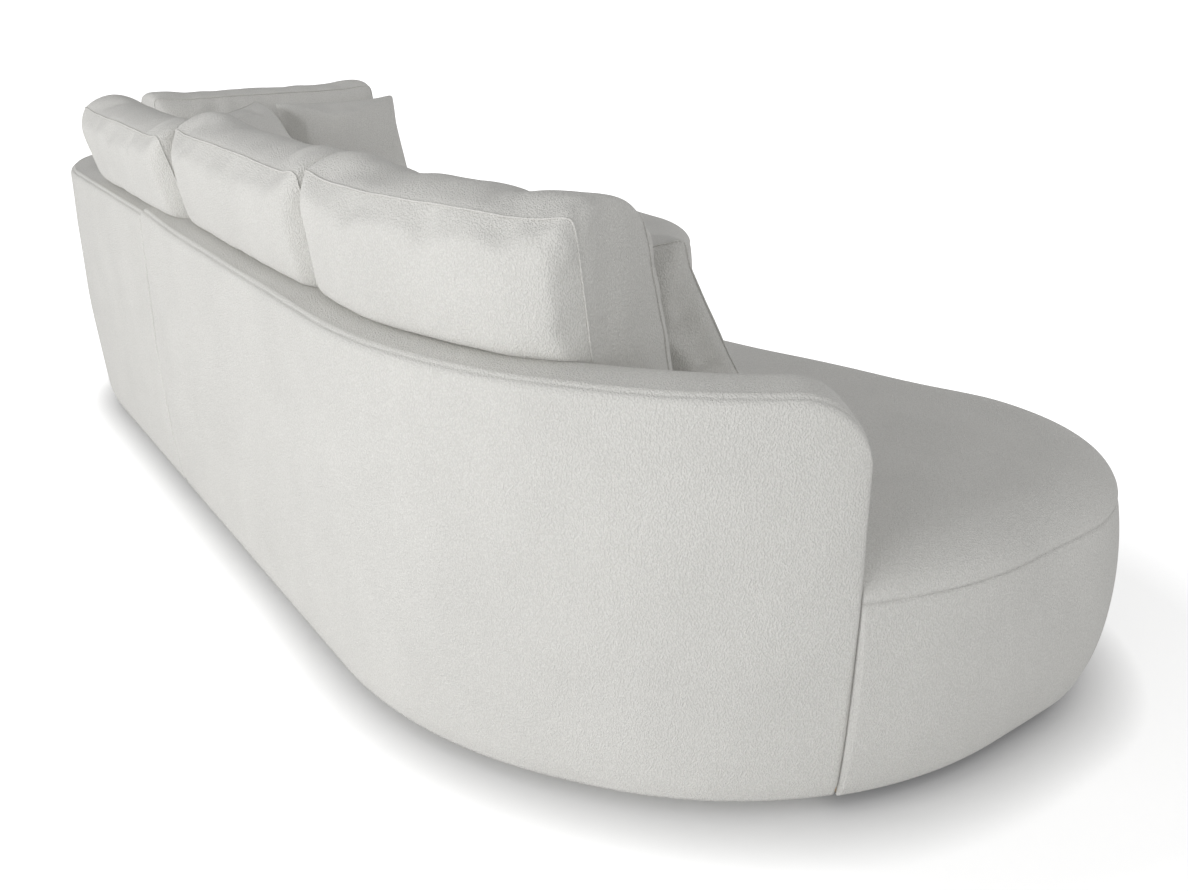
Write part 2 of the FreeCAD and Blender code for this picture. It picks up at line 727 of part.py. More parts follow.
def curved_cushion(name, inset):
    """A back cushion that follows the wall's bend."""
    body = new_body(name)
    turned = body.newObject("PartDesign::Revolution", name + "_turn")
    section = cushion_sketch(body, "near_cushion_axis", inset, "cushion_height")
    turned.Profile = section
    turned.ReferenceAxis = (section, ["V_Axis"])
    turned.Midplane = True
    swing = "near_cushion_sweep - 2 * (%s) / near_cushion_axis * 180 / pi" % inset
    bind(turned, "Angle", "(%s) * 1 deg" % swing)
    doc.recompute()
    marks = end_edges(turned.Shape)
    round_edges(body, turned, lambda edge: edge.hashCode() in marks, "cushion_end_round - (%s)" % inset)
    return body


def cushion(label, blank, along, out, angle):
    """Cover and filling of a cushion, made from one blank at three sizes."""
    outer = blank(label + "_outer", "0")
    hollow = blank(label + "_hollow", "cushion_fabric")
    filling = blank(label + "_core", "cushion_fabric + ease")
    shell = cut(label + "_shell", outer, hollow)
    for thing in (outer, hollow, filling):
        place(thing, along, out, "cushion_base", angle)
    keep(shell, label + "_cover")
    keep(filling, label + "_filling")


def back_cushions():
    cushion("near_back_cushion", curved_cushion, "bend_along", "bend_radius", "90 + near_cushion_heading")
    on_wall = "wall_thickness + cushion_gap + cushion_axis"
    for label in ("middle", "corner"):
        length = label + "_cushion_length"
        cushion(label + "_back_cushion", lambda name, inset: straight_cushion(name, inset, length),
                label + "_cushion_along", on_wall, "90")
    low_one = ("chaise_cushion_length", "chaise_cushion_height")
    cushion("chaise_back_cushion", lambda name, inset: straight_cushion(name, inset, *low_one),
            "chaise_cushion_along + cushion_axis", "chaise_cushion_out", "0")


def square_sketch(body, name, half, bow, level):
    """A square whose sides are arcs: bowed out by a positive bow, drawn in by a negative one."""
    sketch = sketch_on(body, "XY_Plane", name)
    reach = size(half)
    rise = size(bow)
    radius = "((%s)^2 + (%s)^2) / (2 * abs(%s))" % (half, bow, bow)
    mid = size("scatter_edge")
    signs = [(-1, -1), (1, -1), (1, 1), (-1, 1)]
    spots = [V(mid + a * reach, mid + b * reach, 0) for a, b in signs]
    arcs = []
    for k in range(4):
        here = spots[k]
        there = spots[(k + 1) % 4]
        way = there - here
        outward = V(way.y, -way.x, 0)
        outward.normalize()
        middle = (here + there) * 0.5 + outward * (rise - math.copysign(size(radius), rise))
        points = (here, there) if rise > 0 else (there, here)
        arcs.append(sketch.addGeometry(arc_between(middle, size(radius), *points), False))
    first, last = (1, 2) if rise > 0 else (2, 1)
    for k in range(4):
        pin(sketch, Sketcher.Constraint("Coincident", arcs[k], last, arcs[(k + 1) % 4], first))
        pin(sketch, Sketcher.Constraint("Radius", arcs[k], size(radius)), radius)
        for word, sign, spot in (("DistanceX", signs[k][0], spots[k].x), ("DistanceY", signs[k][1], spots[k].y)):
            text = "scatter_edge %s (%s)" % ("+" if sign > 0 else "-", half)
            pin(sketch, Sketcher.Constraint(word, -1, 1, arcs[k], first, spot), text)
    bind(sketch, "AttachmentOffset.Base.x", "-scatter_edge")
    bind(sketch, "AttachmentOffset.Base.y", "-scatter_edge")
    bind(sketch, "AttachmentOffset.Base.z", level)
    return sketch


def scatter_blank(name, inset):
    """A knife-edged square cushion: drawn-in sides at the seam, a crown on both faces."""
    body = new_body(name)
    rows = [("scatter_crown", "scatter_bow", "scatter_crown_level"),
            ("scatter_face", "scatter_bow", "scatter_face_level"),
            ("scatter_shoulder", "-scatter_draw_in / 2", "scatter_shoulder_level")]
    sections = []
    for sign in ("-", ""):
        for half, bow, level in (rows if sign else reversed(rows)):
            height = "%s(%s - (%s))" % (sign, level, inset)
            sections.append(("%s - (%s)" % (half, inset), bow, height))
        if sign:
            sections.append(("scatter_half - (%s)" % inset, "-scatter_draw_in", "0"))
    made = [square_sketch(body, "%s_row_%d" % (name, k), *row) for k, row in enumerate(sections)]
    loft = body.newObject("PartDesign::AdditiveLoft", name + "_loft")
    loft.Profile = made[0]
    loft.Sections = made[1:]
    doc.recompute()
    return body


# Each scatter cushion's middle (along, out, height), the way it faces on the plan, how far it leans back
# and how far it is turned in its own plane
SCATTERS = {
    "chaise_scatter_cushion": ("545", "795", 622, 180, 24, 0),
    "corner_scatter_cushion": ("752", "538", 619, 215, 36, 6),
    "near_scatter_cushion": ("total_length - 657", "518", 624, -51, 39, -11),
}


def scatter_cushions():
    for label, (along, out, height, faces, lean, turned) in SCATTERS.items():
        outer = scatter_blank(label + "_outer", "0")
        hollow = scatter_blank(label + "_hollow", "cushion_fabric")
        filling = scatter_blank(label + "_core", "cushion_fabric + ease")
        upright = FreeCAD.Rotation(UP, faces + 90) * FreeCAD.Rotation(V(1, 0, 0), 90 - lean)
        turn = upright * FreeCAD.Rotation(UP, turned)
        for thing in (outer, hollow, filling):
            thing.Placement = FreeCAD.Placement(V(0, 0, height), turn)
            bind(thing, "Placement.Base.x", "half_length - (%s)" % along)
            bind(thing, "Placement.Base.y", "half_reach - (%s)" % out)
        keep(cut(label + "_shell", outer, hollow), label + "_cover")
        keep(filling, label + "_filling")


def connectors():
    """Tongues under the long module slide into sockets under the chaise."""
    tongues = []
    sockets = []
    plate_low = "dust_bottom - connector_plate"
    tongue_low = plate_low + " - tongue_depth"
    socket_low = tongue_low + " - tongue_clearance - socket_wall"
    for tag, out in CONNECTORS:
        half = "(%s) + connector_width / 2" % out
        plate = block("tongue_plate_" + tag, "joint_along + hem_room + connector_length", half, plate_low,
                      "connector_length", "connector_width", "connector_plate")
        bar = block("tongue_bar_" + tag, "joint_along + connector_length", "(%s) + tongue_width / 2" % out,
                    tongue_low, "connector_length + connector_reach", "tongue_width", "tongue_depth")
        tongues.append(fuse("tongue_" + tag, plate, bar))
        body = block("socket_body_" + tag, "joint_along - hem_room", half, socket_low, "connector_length",
                     "connector_width", "dust_bottom - (%s)" % socket_low)
        slot = block("socket_slot_" + tag, "joint_along + 5",
                     "(%s) + tongue_width / 2 + tongue_clearance" % out, tongue_low + " - tongue_clearance",
                     "connector_length + 20", "tongue_width + 2 * tongue_clearance",
                     "tongue_depth + 2 * tongue_clearance")
        sockets.append(cut("socket_" + tag, body, slot))
    for module, label, made, level in (("long", "tongue", tongues, plate_low),
                                       ("chaise", "socket", sockets, socket_low)):
        spots = connector_spots(module)
        holes = pegs(label + "_holes", spots, "0", "screw_radius + bore_clearance", "panel_top")
        keep(cut(label + "_drilled", group(label + "_set", made), holes), "connector_%ss" % label)
        keep(screw_set(label + "_screw_set", spots, level), "connector_%s_screws" % label)


def check_and_write():
    doc.recompute()
    for thing in doc.Objects:
        bad = [word for word in thing.State if word in ("Invalid", "Error")]
        if bad:
            raise RuntimeError("%s is %s" % (thing.Label, ", ".join(bad)))
    for thing in NODES:
        shape = thing.Shape
        if shape.isNull() or not shape.isValid() or not shape.Solids:
            raise RuntimeError(thing.Label + " has no valid solid")
    os.makedirs("parts", exist_ok=True)
    for thing in NODES:
        thing.Shape.exportStep("parts/%s.step" % thing.Label)
        box = thing.Shape.BoundBox
        print("%-34s %2d solids  %.0f x %.0f x %.0f" % (thing.Label, len(thing.Shape.Solids), box.XLength,
                                                       box.YLength, box.ZLength))


for each in OUTLINES:
    upholstered_module(each)
connectors()
back_cushions()
scatter_cushions()
check_and_write()
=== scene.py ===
# %% [markdown]
# A large curved corner sofa in cream teddy fabric: two modules that push together, a low wall that
# wraps round the back, four loose back cushions and three scatter cushions.
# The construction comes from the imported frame. Everything soft is dressed here, in metres and in the
# frame's own place, and the cushions' lean and swell follow the photograph.

# %% Load the frame
import json
import math

import bmesh
import bpy
import numpy as np
from mathutils import Matrix, Vector, geometry, noise

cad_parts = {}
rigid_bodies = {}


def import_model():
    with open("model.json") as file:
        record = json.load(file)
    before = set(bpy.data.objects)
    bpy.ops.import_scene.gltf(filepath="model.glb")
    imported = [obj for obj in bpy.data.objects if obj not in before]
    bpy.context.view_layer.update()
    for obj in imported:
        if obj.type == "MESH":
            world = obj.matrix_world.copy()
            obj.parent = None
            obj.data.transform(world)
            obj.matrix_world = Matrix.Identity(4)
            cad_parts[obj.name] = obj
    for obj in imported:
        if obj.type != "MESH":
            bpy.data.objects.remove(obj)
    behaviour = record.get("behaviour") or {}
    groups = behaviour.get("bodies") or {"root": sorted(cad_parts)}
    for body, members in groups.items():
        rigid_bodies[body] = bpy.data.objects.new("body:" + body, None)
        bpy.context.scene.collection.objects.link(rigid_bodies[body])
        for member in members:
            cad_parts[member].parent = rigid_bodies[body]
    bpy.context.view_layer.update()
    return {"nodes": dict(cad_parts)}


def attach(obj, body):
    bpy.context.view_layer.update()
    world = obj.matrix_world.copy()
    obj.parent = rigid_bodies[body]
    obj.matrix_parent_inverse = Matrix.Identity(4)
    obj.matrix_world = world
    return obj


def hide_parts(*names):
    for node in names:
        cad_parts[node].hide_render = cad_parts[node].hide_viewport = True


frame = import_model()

# %% [markdown]
# The plan of each module is a ring of straight edges with rounded corners. Each edge is kept as its
# heading, its distance from a middle point and the radius of the corner after it, negative where the
# corner is hollow. The same numbers make the construction, so fabric and frame agree everywhere.

# %% Plan of the modules
HALF_LENGTH, HALF_REACH = 1.460, 0.870
JOINT_ALONG, JOINT_GAP = 1.150, 0.002
WALL_THICK, WALL_TOP, SEAT_TOP = 0.110, 0.690, 0.435
HEM = 0.030
BEND, FLARE, CHAISE_FLARE = math.radians(35.5), math.radians(17.5), math.radians(6)
WALL_END_TURN, TIP_RADIUS = math.radians(156), 0.740
CHAISE_WALL_END = 0.930
LONG_MIDDLE = (HALF_LENGTH - 2.060, HALF_REACH - 0.470)
CHAISE_MIDDLE = (HALF_LENGTH - 0.560, HALF_REACH - 0.560)
LONG_EDGES = [
    (math.pi, 0.470, 0.800),
    (BEND - math.pi, 0.308 * math.sin(BEND) + 0.470 * math.cos(BEND), TIP_RADIUS),
    (-math.pi / 2, 0.860, 0.308),
    (FLARE, 0.730 * math.cos(FLARE) - 0.442 * math.sin(FLARE), -1.500),
    (0.0, 0.500, None),
    (math.pi / 2, 0.909, None),
]
CHAISE_EDGES = [
    (math.pi, 0.560, None),
    (-math.pi / 2, 0.589, -0.600),
    (-math.pi / 2 - CHAISE_FLARE, 0.590 * math.cos(CHAISE_FLARE) - 0.440 * math.sin(CHAISE_FLARE), 0.308),
    (0.0, 1.180, 0.800),
    (math.pi / 2, 0.560, 0.520),
]


def trace(middle, edges, step):
    """Points round an outline with their outward directions, the run each belongs to, and arc centres.
    Run 2k is edge k and run 2k + 1 the corner after it."""
    count = len(edges)
    way = [np.array([math.cos(e[0]), math.sin(e[0])]) for e in edges]
    foot = [np.array(middle) + np.array([w[1], -w[0]]) * e[1] for w, e in zip(way, edges)]
    start, end, arcs = [None] * count, [None] * count, [None] * count
    for i in range(count):
        j = (i + 1) % count
        gap, cross = foot[j] - foot[i], way[i][0] * way[j][1] - way[i][1] * way[j][0]
        corner = foot[i] + way[i] * ((gap[0] * way[j][1] - gap[1] * way[j][0]) / cross)
        radius = edges[i][2]
        if radius is None:
            start[j] = end[i] = corner
            continue
        turn = math.atan2(cross, way[i] @ way[j])
        cut = abs(radius) * math.tan(abs(turn) / 2)
        end[i], start[j] = corner - way[i] * cut, corner + way[j] * cut
        side = 1 if turn > 0 else -1
        centre = end[i] + np.array([-way[i][1], way[i][0]]) * abs(radius) * side
        arcs[i] = (centre, turn)
    points, normals, runs = [], [], []
    for i in range(count):
        length = np.linalg.norm(end[i] - start[i])
        parts = max(1, round(length / step))
        for k in range(parts):
            points.append(start[i] + (end[i] - start[i]) * k / parts)
            normals.append(np.array([way[i][1], -way[i][0]]))
            runs.append(2 * i)
        if arcs[i] is None:
            points.append(end[i])
            normals.append(np.array([way[i][1], -way[i][0]]))
            runs.append(2 * i)
            continue
        centre, turn = arcs[i]
        parts = max(2, round(abs(turn * edges[i][2]) / step))
        for k in range(parts):
            a = turn * k / parts
            spin = np.array([[math.cos(a), -math.sin(a)], [math.sin(a), math.cos(a)]])
            points.append(centre + spin @ (end[i] - centre))
            normals.append(spin @ np.array([way[i][1], -way[i][0]]))
            runs.append(2 * i + 1)
    return np.array(points), np.array(normals), np.array(runs), arcs


STEP = 0.008
long_plan = trace(LONG_MIDDLE, LONG_EDGES, STEP)
chaise_plan = trace(CHAISE_MIDDLE, CHAISE_EDGES, STEP)
TIP_CENTRE = long_plan[3][1][0]
print("plan points: long", len(long_plan[0]), "chaise", len(chaise_plan[0]))

# %% [markdown]
# The fabric is a short teddy boucle: tiny curls, a little taller than wide on upright faces because
# the nap is brushed down. Weave this fine is far below the mesh, so it is bump and colour from
# procedural noise on Object coordinates. Two tones sit in it: pale curl tops, and a greyer tone in
# the hollows between curls that is painted shade.

# %% Finishes


def new_material(name):
    made = bpy.data.materials.new(name)
    made.use_nodes = True
    tree = made.node_tree
    return made, tree, tree.nodes["Principled BSDF"]


def add(tree, kind, **values):
    """A node with its properties, and its inputs where the name is a socket."""
    made = tree.nodes.new(kind)
    for key, value in values.items():
        if hasattr(made, key) and key not in made.inputs:
            setattr(made, key, value)
        else:
            made.inputs[key.replace("_", " ")].default_value = value
    return made


def link(tree, out, into):
    tree.links.new(out, into)


def mixed(tree, kind, blend, factor, a, b):
    """A Mix node: factor, a and b are sockets or plain values."""
    node = tree.nodes.new("ShaderNodeMix")
    node.data_type = kind
    if kind == "RGBA":
        node.blend_type = blend
        sockets = (node.inputs[0], node.inputs[6], node.inputs[7], node.outputs[2])
    else:
        sockets = (node.inputs[0], node.inputs[2], node.inputs[3], node.outputs[0])
    for socket, value in zip(sockets, (factor, a, b)):
        if isinstance(value, bpy.types.NodeSocket):
            link(tree, value, socket)
        else:
            socket.default_value = value
    return sockets[3]


def teddy_fabric(name, pale, hollow, curl=0.0026, upright=0.75, lift=0.0021):
    made, tree, shader = new_material(name)
    place = add(tree, "ShaderNodeTexCoord")
    squeeze = add(tree, "ShaderNodeMapping")
    squeeze.inputs["Scale"].default_value = (1, 1, upright)
    link(tree, place.outputs["Object"], squeeze.inputs["Vector"])
    wander = add(tree, "ShaderNodeTexNoise", Scale=1.6 / curl, Detail=2.0)
    link(tree, squeeze.outputs[0], wander.inputs["Vector"])
    bent = tree.nodes.new("ShaderNodeVectorMath")
    bent.operation = "MULTIPLY_ADD"
    link(tree, wander.outputs["Color"], bent.inputs[0])
    bent.inputs[1].default_value = (curl * 0.7,) * 3
    link(tree, squeeze.outputs[0], bent.inputs[2])
    curls = add(tree, "ShaderNodeTexVoronoi", feature="SMOOTH_F1", Scale=1.0 / curl, Smoothness=0.35)
    link(tree, bent.outputs[0], curls.inputs["Vector"])
    fibre = add(tree, "ShaderNodeTexNoise", Scale=3.4 / curl, Detail=3.0, Roughness=0.65)
    link(tree, squeeze.outputs[0], fibre.inputs["Vector"])
    tops = add(tree, "ShaderNodeMapRange", From_Min=0.15, From_Max=0.75, To_Min=1.0, To_Max=0.0)
    link(tree, curls.outputs["Distance"], tops.inputs["Value"])
    height = mixed(tree, "FLOAT", None, 0.4, tops.outputs[0], fibre.outputs["Fac"])
    bump = add(tree, "ShaderNodeBump", Strength=0.85, Distance=lift)
    link(tree, height, bump.inputs["Height"])
    link(tree, bump.outputs[0], shader.inputs["Normal"])
    brushed = add(tree, "ShaderNodeTexNoise", Scale=7.0, Detail=3.0, Roughness=0.55)
    link(tree, squeeze.outputs[0], brushed.inputs["Vector"])
    nap = add(tree, "ShaderNodeMapRange", From_Min=0.3, From_Max=0.7, To_Min=0.97, To_Max=1.02)
    link(tree, brushed.outputs["Fac"], nap.inputs["Value"])
    # Painted shade: where the curl height is low, in the hollows between curls, the colour moves to the
    # greyer hollow tone.
    share = add(tree, "ShaderNodeMapRange", From_Min=0.25, From_Max=0.75, To_Min=0.0, To_Max=1.0)
    link(tree, height, share.inputs["Value"])
    tone = mixed(tree, "RGBA", "MIX", share.outputs[0], hollow, pale)
    shade = mixed(tree, "RGBA", "MULTIPLY", 1.0, tone, nap.outputs[0])
    link(tree, shade, shader.inputs["Base Color"])
    shader.inputs["Roughness"].default_value = 0.92
    shader.inputs["Specular IOR Level"].default_value = 0.15
    shader.inputs["Sheen Weight"].default_value = 0.12
    shader.inputs["Sheen Roughness"].default_value = 0.5
    return made


# The first colour is the cream itself; the second is painted shade for the hollows between the curls.
cream_teddy = teddy_fabric("cream_teddy", (0.84, 0.832, 0.802, 1), (0.74, 0.732, 0.702, 1))


def plain_finish(name, light, dark, grain, roughness, metal=0.0, lift=0.0003, stretch=(1, 1, 1)):
    """A finish of two tones mixed by noise, with a fine relief: boards, foam, webbing, plastic, steel."""
    made, tree, shader = new_material(name)
    place = add(tree, "ShaderNodeTexCoord")
    turned = add(tree, "ShaderNodeMapping")
    turned.inputs["Scale"].default_value = stretch
    link(tree, place.outputs["Object"], turned.inputs["Vector"])
    speck = add(tree, "ShaderNodeTexNoise", Scale=grain, Detail=4.0, Roughness=0.6)
    link(tree, turned.outputs[0], speck.inputs["Vector"])
    spread = add(tree, "ShaderNodeMapRange", From_Min=0.35, From_Max=0.65)
    link(tree, speck.outputs["Fac"], spread.inputs["Value"])
    tone = mixed(tree, "RGBA", "MIX", spread.outputs[0], dark, light)
    link(tree, tone, shader.inputs["Base Color"])
    bump = add(tree, "ShaderNodeBump", Strength=0.5, Distance=lift)
    link(tree, speck.outputs["Fac"], bump.inputs["Height"])
    link(tree, bump.outputs[0], shader.inputs["Normal"])
    shader.inputs["Roughness"].default_value = roughness
    shader.inputs["Metallic"].default_value = metal
    return made


birch_ply = plain_finish("birch_ply", (0.68, 0.50, 0.31, 1), (0.52, 0.36, 0.21, 1), 60, 0.6,
                         stretch=(0.08, 1, 1))
pine_rail = plain_finish("pine_rail", (0.72, 0.55, 0.35, 1), (0.55, 0.38, 0.22, 1), 70, 0.65,
                         stretch=(0.1, 1, 1))
seat_foam = plain_finish("seat_foam", (0.78, 0.74, 0.62, 1), (0.66, 0.61, 0.48, 1), 900, 0.95, lift=0.0006)
elastic_web = plain_finish("elastic_web", (0.10, 0.10, 0.11, 1), (0.04, 0.04, 0.045, 1), 700, 0.85,
                           stretch=(1, 0.2, 1))
dust_cloth = plain_finish("dust_cloth", (0.045, 0.045, 0.047, 1), (0.02, 0.02, 0.021, 1), 420, 0.9)
black_plastic = plain_finish("black_plastic", (0.035, 0.035, 0.036, 1), (0.022, 0.022, 0.023, 1), 300, 0.45)
zinc_steel = plain_finish("zinc_steel", (0.62, 0.62, 0.60, 1), (0.48, 0.48, 0.47, 1), 500, 0.35, metal=1.0)

NODE_FINISH = [
    ("_base_panel", birch_ply), ("_dust_cover", dust_cloth), ("_feet", black_plastic),
    ("_screws", zinc_steel), ("_rails", pine_rail), ("_bearers", birch_ply), ("_rail", pine_rail),
    ("_posts", pine_rail),
    ("_webbing", elastic_web), ("_padding", seat_foam), ("_foam", seat_foam), ("_filling", seat_foam),
    ("tongues", zinc_steel), ("sockets", zinc_steel), ("_cover", cream_teddy),
]
for name, node in frame["nodes"].items():
    finish = next(made for ending, made in NODE_FINISH if name.endswith(ending))
    node.data.materials.clear()
    node.data.materials.append(finish)
print("finishes:", len(bpy.data.materials))

# %% [markdown]
# A soft piece is a mesh built from numbers. These helpers make an object at the origin, weld its
# parts together, turn its faces outwards, and move its skin in and out by slow noise so that no
# stretched fabric is perfectly even.

# %% Mesh helpers


def make_piece(name, points, faces, material, weld=0.0004):
    mesh = bpy.data.meshes.new(name)
    mesh.from_pydata([tuple(map(float, p)) for p in points], [], faces)
    form = bmesh.new()
    form.from_mesh(mesh)
    bmesh.ops.remove_doubles(form, verts=form.verts, dist=weld)
    bmesh.ops.recalc_face_normals(form, faces=form.faces)
    form.to_mesh(mesh)
    form.free()
    mesh.materials.append(material)
    mesh.shade_smooth()
    piece = bpy.data.objects.new(name, mesh)
    bpy.context.scene.collection.objects.link(piece)
    return piece


def coordinates(mesh):
    flat = np.empty(len(mesh.vertices) * 3, np.float32)
    mesh.vertices.foreach_get("co", flat)
    return flat.reshape(-1, 3).astype(float)


def set_coordinates(mesh, points):
    mesh.vertices.foreach_set("co", np.ascontiguousarray(points, np.float32).ravel())
    mesh.update()


def ruffle(piece, amount, size, seed, keep=None):
    """Moves the skin along its normals by slow noise; keep(point) scales the move."""
    mesh = piece.data
    points = coordinates(mesh)
    flat = np.empty(len(mesh.vertices) * 3, np.float32)
    mesh.vertices.foreach_get("normal", flat)
    normals = flat.reshape(-1, 3)
    offset = Vector((seed * 7.3, seed * 3.1, seed * 5.7))
    for i, p in enumerate(points):
        share = 1.0 if keep is None else keep(p)
        points[i] = p + normals[i] * (noise.noise(Vector(p) / size + offset) * amount * share)
    set_coordinates(mesh, points)


def smooth_step(low, high, value):
    t = np.clip((value - low) / (high - low), 0, 1)
    return t * t * (3 - 2 * t)


# %% [markdown]
# The back wall is a board frame wrapped in foam, with one fabric panel outside and a narrow boxing
# over the top. It is made as a closed cross-section carried along the plan, because the seam where
# the two meet has to run as one line along the wall. Points crowd round that seam to crease it, and
# near the open end the section gets lower in a quarter circle.

# %% Back walls
OUTER_ROUND, INNER_ROUND, END_ROUND, EDGE_ROUND = 0.020, 0.044, 0.112, 0.007
BELLY = 0.012


def wall_section(top, crown):
    """Closed section as (depth from the outer face, height), from the outer hem up, over and down."""
    rows = []
    straight = top - OUTER_ROUND
    face = np.linspace(HEM + 0.006, straight - 0.02, 66)
    for z in np.concatenate([[HEM], face, np.linspace(straight - 0.016, straight, 5)]):
        t = (z - HEM) / (straight - HEM)
        tuck = 0.005 * (1 - smooth_step(0.0, 0.05, t))
        rows.append((tuck - BELLY * math.sin(math.pi * min(1, t) ** 0.85), z))
    for a in np.linspace(0, math.pi / 2, 13)[1:]:
        dent = 0.0024 * math.exp(-((a - 0.95) / 0.16) ** 2)
        reach = OUTER_ROUND - dent
        rows.append((OUTER_ROUND - reach * math.cos(a), straight + reach * math.sin(a)))
    flat = np.linspace(OUTER_ROUND, WALL_THICK - INNER_ROUND, 9)
    for d in flat[1:]:
        rows.append((d, top + crown * math.sin(math.pi * (d - flat[0]) / (flat[-1] - flat[0]) * 0.5)))
    for a in np.linspace(math.pi / 2, 0, 13)[1:]:
        rows.append((WALL_THICK - INNER_ROUND + INNER_ROUND * math.cos(a),
                     top - INNER_ROUND + INNER_ROUND * math.sin(a) + crown * math.sin(a)))
    for z in np.linspace(top - INNER_ROUND - 0.012, HEM, 40):
        rows.append((WALL_THICK, z))
    return np.array(rows)


def inset_section(rows, amount):
    """The section drawn in evenly, for a rounded end."""
    after, before = np.roll(rows, -1, 0), np.roll(rows, 1, 0)
    way = after - before
    way /= np.maximum(np.linalg.norm(way, axis=1, keepdims=True), 1e-9)
    return rows + np.stack([way[:, 1], -way[:, 0]], 1) * amount


def resample(points, normals, spots):
    """Points and directions of a path at given lengths along it."""
    lengths = np.concatenate([[0], np.cumsum(np.linalg.norm(np.diff(points, axis=0), axis=1))])
    place = np.stack([np.interp(spots, lengths, points[:, k]) for k in (0, 1)], 1)
    face = np.stack([np.interp(spots, lengths, normals[:, k]) for k in (0, 1)], 1)
    return place, face / np.linalg.norm(face, axis=1, keepdims=True)


def end_spots(length, step, open_round):
    """Stations along a wall, closer together at both ends."""
    fine = np.array([0, 0.0012, 0.003, 0.006, 0.010, 0.014])
    last = length - open_round * np.array([1, 0.92, 0.84, 0.76, 0.68, 0.60, 0.52, 0.44, 0.36, 0.29, 0.22,
                                           0.16, 0.11, 0.07, 0.045, 0.025, 0.01, 0])
    middle = np.arange(0.02, length - open_round - 0.006, step)
    return np.concatenate([fine, middle, last])


def wall_piece(name, points, normals, free_at_end, puff, joint_round):
    length = np.linalg.norm(np.diff(points, axis=0), axis=1).sum()
    spots = end_spots(length, STEP, END_ROUND)
    if not free_at_end:
        spots = length - spots[::-1]
    place, face = resample(points, normals, spots)
    grid = []
    for s, p, n in zip(spots, place, face):
        to_free = length - s if free_at_end else s
        to_joint = s if free_at_end else length - s
        drop = END_ROUND - math.sqrt(max(0.0, END_ROUND ** 2 - max(0.0, END_ROUND - to_free) ** 2))
        lift = puff * math.exp(-(to_joint / 0.16) ** 2)
        rows = wall_section(WALL_TOP - drop + lift, 0.005)
        near, bend = min((to_free, EDGE_ROUND), (to_joint, joint_round))
        if near < bend:
            rows = inset_section(rows, bend - math.sqrt(bend ** 2 - (bend - near) ** 2))
        rows[:, 1] = np.maximum(rows[:, 1], HEM)
        grid.append([(p[0] - n[0] * d, p[1] - n[1] * d, z) for d, z in rows])
    rows, cols = len(grid), len(grid[0])
    faces = []
    for i in range(rows - 1):
        for k in range(cols):
            a, b = i * cols + k, i * cols + (k + 1) % cols
            faces.append((a, b, b + cols, a + cols))
    faces.append(tuple(range(cols)))
    faces.append(tuple(range((rows - 1) * cols, rows * cols)))
    flat = [q for row in grid for q in row]
    piece = make_piece(name, flat, faces, cream_teddy, 0.00005)
    ruffle(piece, 0.0022, 0.16, 3.0 if free_at_end else 5.0, lambda q: smooth_step(0.03, 0.12, q[2]))
    return piece, grid


def long_wall_line():
    points, normals, runs, arcs = long_plan
    turn = np.arctan2(points[:, 1] - TIP_CENTRE[1], points[:, 0] - TIP_CENTRE[0])
    keep = (runs < 3) | ((runs == 3) & (turn < WALL_END_TURN) & (turn > 0))
    out = np.array([math.cos(WALL_END_TURN), math.sin(WALL_END_TURN)])
    return np.vstack([points[keep], TIP_CENTRE + TIP_RADIUS * out]), np.vstack([normals[keep], out])


def chaise_wall_line():
    points, normals, runs, arcs = chaise_plan
    keep = ((runs == 8) & (points[:, 1] > HALF_REACH - CHAISE_WALL_END)) | (runs == 9)
    first = np.array([HALF_LENGTH, HALF_REACH - CHAISE_WALL_END])
    back = points[runs == 0]
    return (np.vstack([first, points[keep], back]),
            np.vstack([[1, 0], normals[keep], np.tile([0, 1], (len(back), 1))]))


long_wall, long_grid = wall_piece("long_back_upholstery", *long_wall_line(), True, 0.010, 0.018)
chaise_wall, chaise_grid = wall_piece("chaise_back_upholstery", *chaise_wall_line(), False, 0.0, 0.008)
for piece, module in ((long_wall, "long"), (chaise_wall, "chaise")):
    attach(piece, module + "_module")
    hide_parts(module + "_back_cover", module + "_back_foam")
    print(piece.name, len(piece.data.polygons), "faces")

# %% [markdown]
# Each seat is a foam block under a top panel whose rounded rim turns down to a seam, with a skirt
# below it that swells and tucks in at the hem. The rim is a section carried along the free edge. The
# flat top is filled with a Delaunay mesh, because its outline has no regular rows to follow.

# %% Seats
SEAT_ROUND, SEAT_SEAM, RIM_WIDTH = 0.060, 0.376, 0.092


def seat_section(swell):
    """Section of the free edge as (inset from the outline, height), from the hem up on to the top."""
    rows = []
    for z in np.concatenate([[HEM], np.linspace(HEM + 0.008, SEAT_SEAM - 0.018, 34),
                             SEAT_SEAM - np.array([0.012, 0.008, 0.005, 0.0025])]):
        t = (z - HEM) / (SEAT_SEAM - HEM)
        tuck = 0.004 * (1 - smooth_step(0.0, 0.08, t))
        pinch = 0.002 * math.exp(-((z - SEAT_SEAM) / 0.007) ** 2)
        rows.append((tuck + pinch - swell * math.sin(0.93 * math.pi * t ** 0.9) ** 0.8 - 0.002, z))
    full = swell * math.sin(0.93 * math.pi) ** 0.8
    rows.append((0.0028 - full, SEAT_SEAM))
    base = SEAT_TOP - SEAT_ROUND
    for a in np.concatenate([[0.02, 0.05, 0.09], np.linspace(0.14, math.pi / 2, 15)]):
        pinch = 0.002 * math.exp(-((a * SEAT_ROUND) / 0.006) ** 2)
        swing = RIM_WIDTH + 0.002 - pinch
        inset = RIM_WIDTH - swing * math.cos(a) - full * math.cos(a) ** 2
        rows.append((inset, base + 0.002 + (SEAT_ROUND - 0.002) * math.sin(a)))
    for d in (RIM_WIDTH + 0.012, RIM_WIDTH + 0.024):
        rows.append((d, SEAT_TOP))
    return np.array(rows)


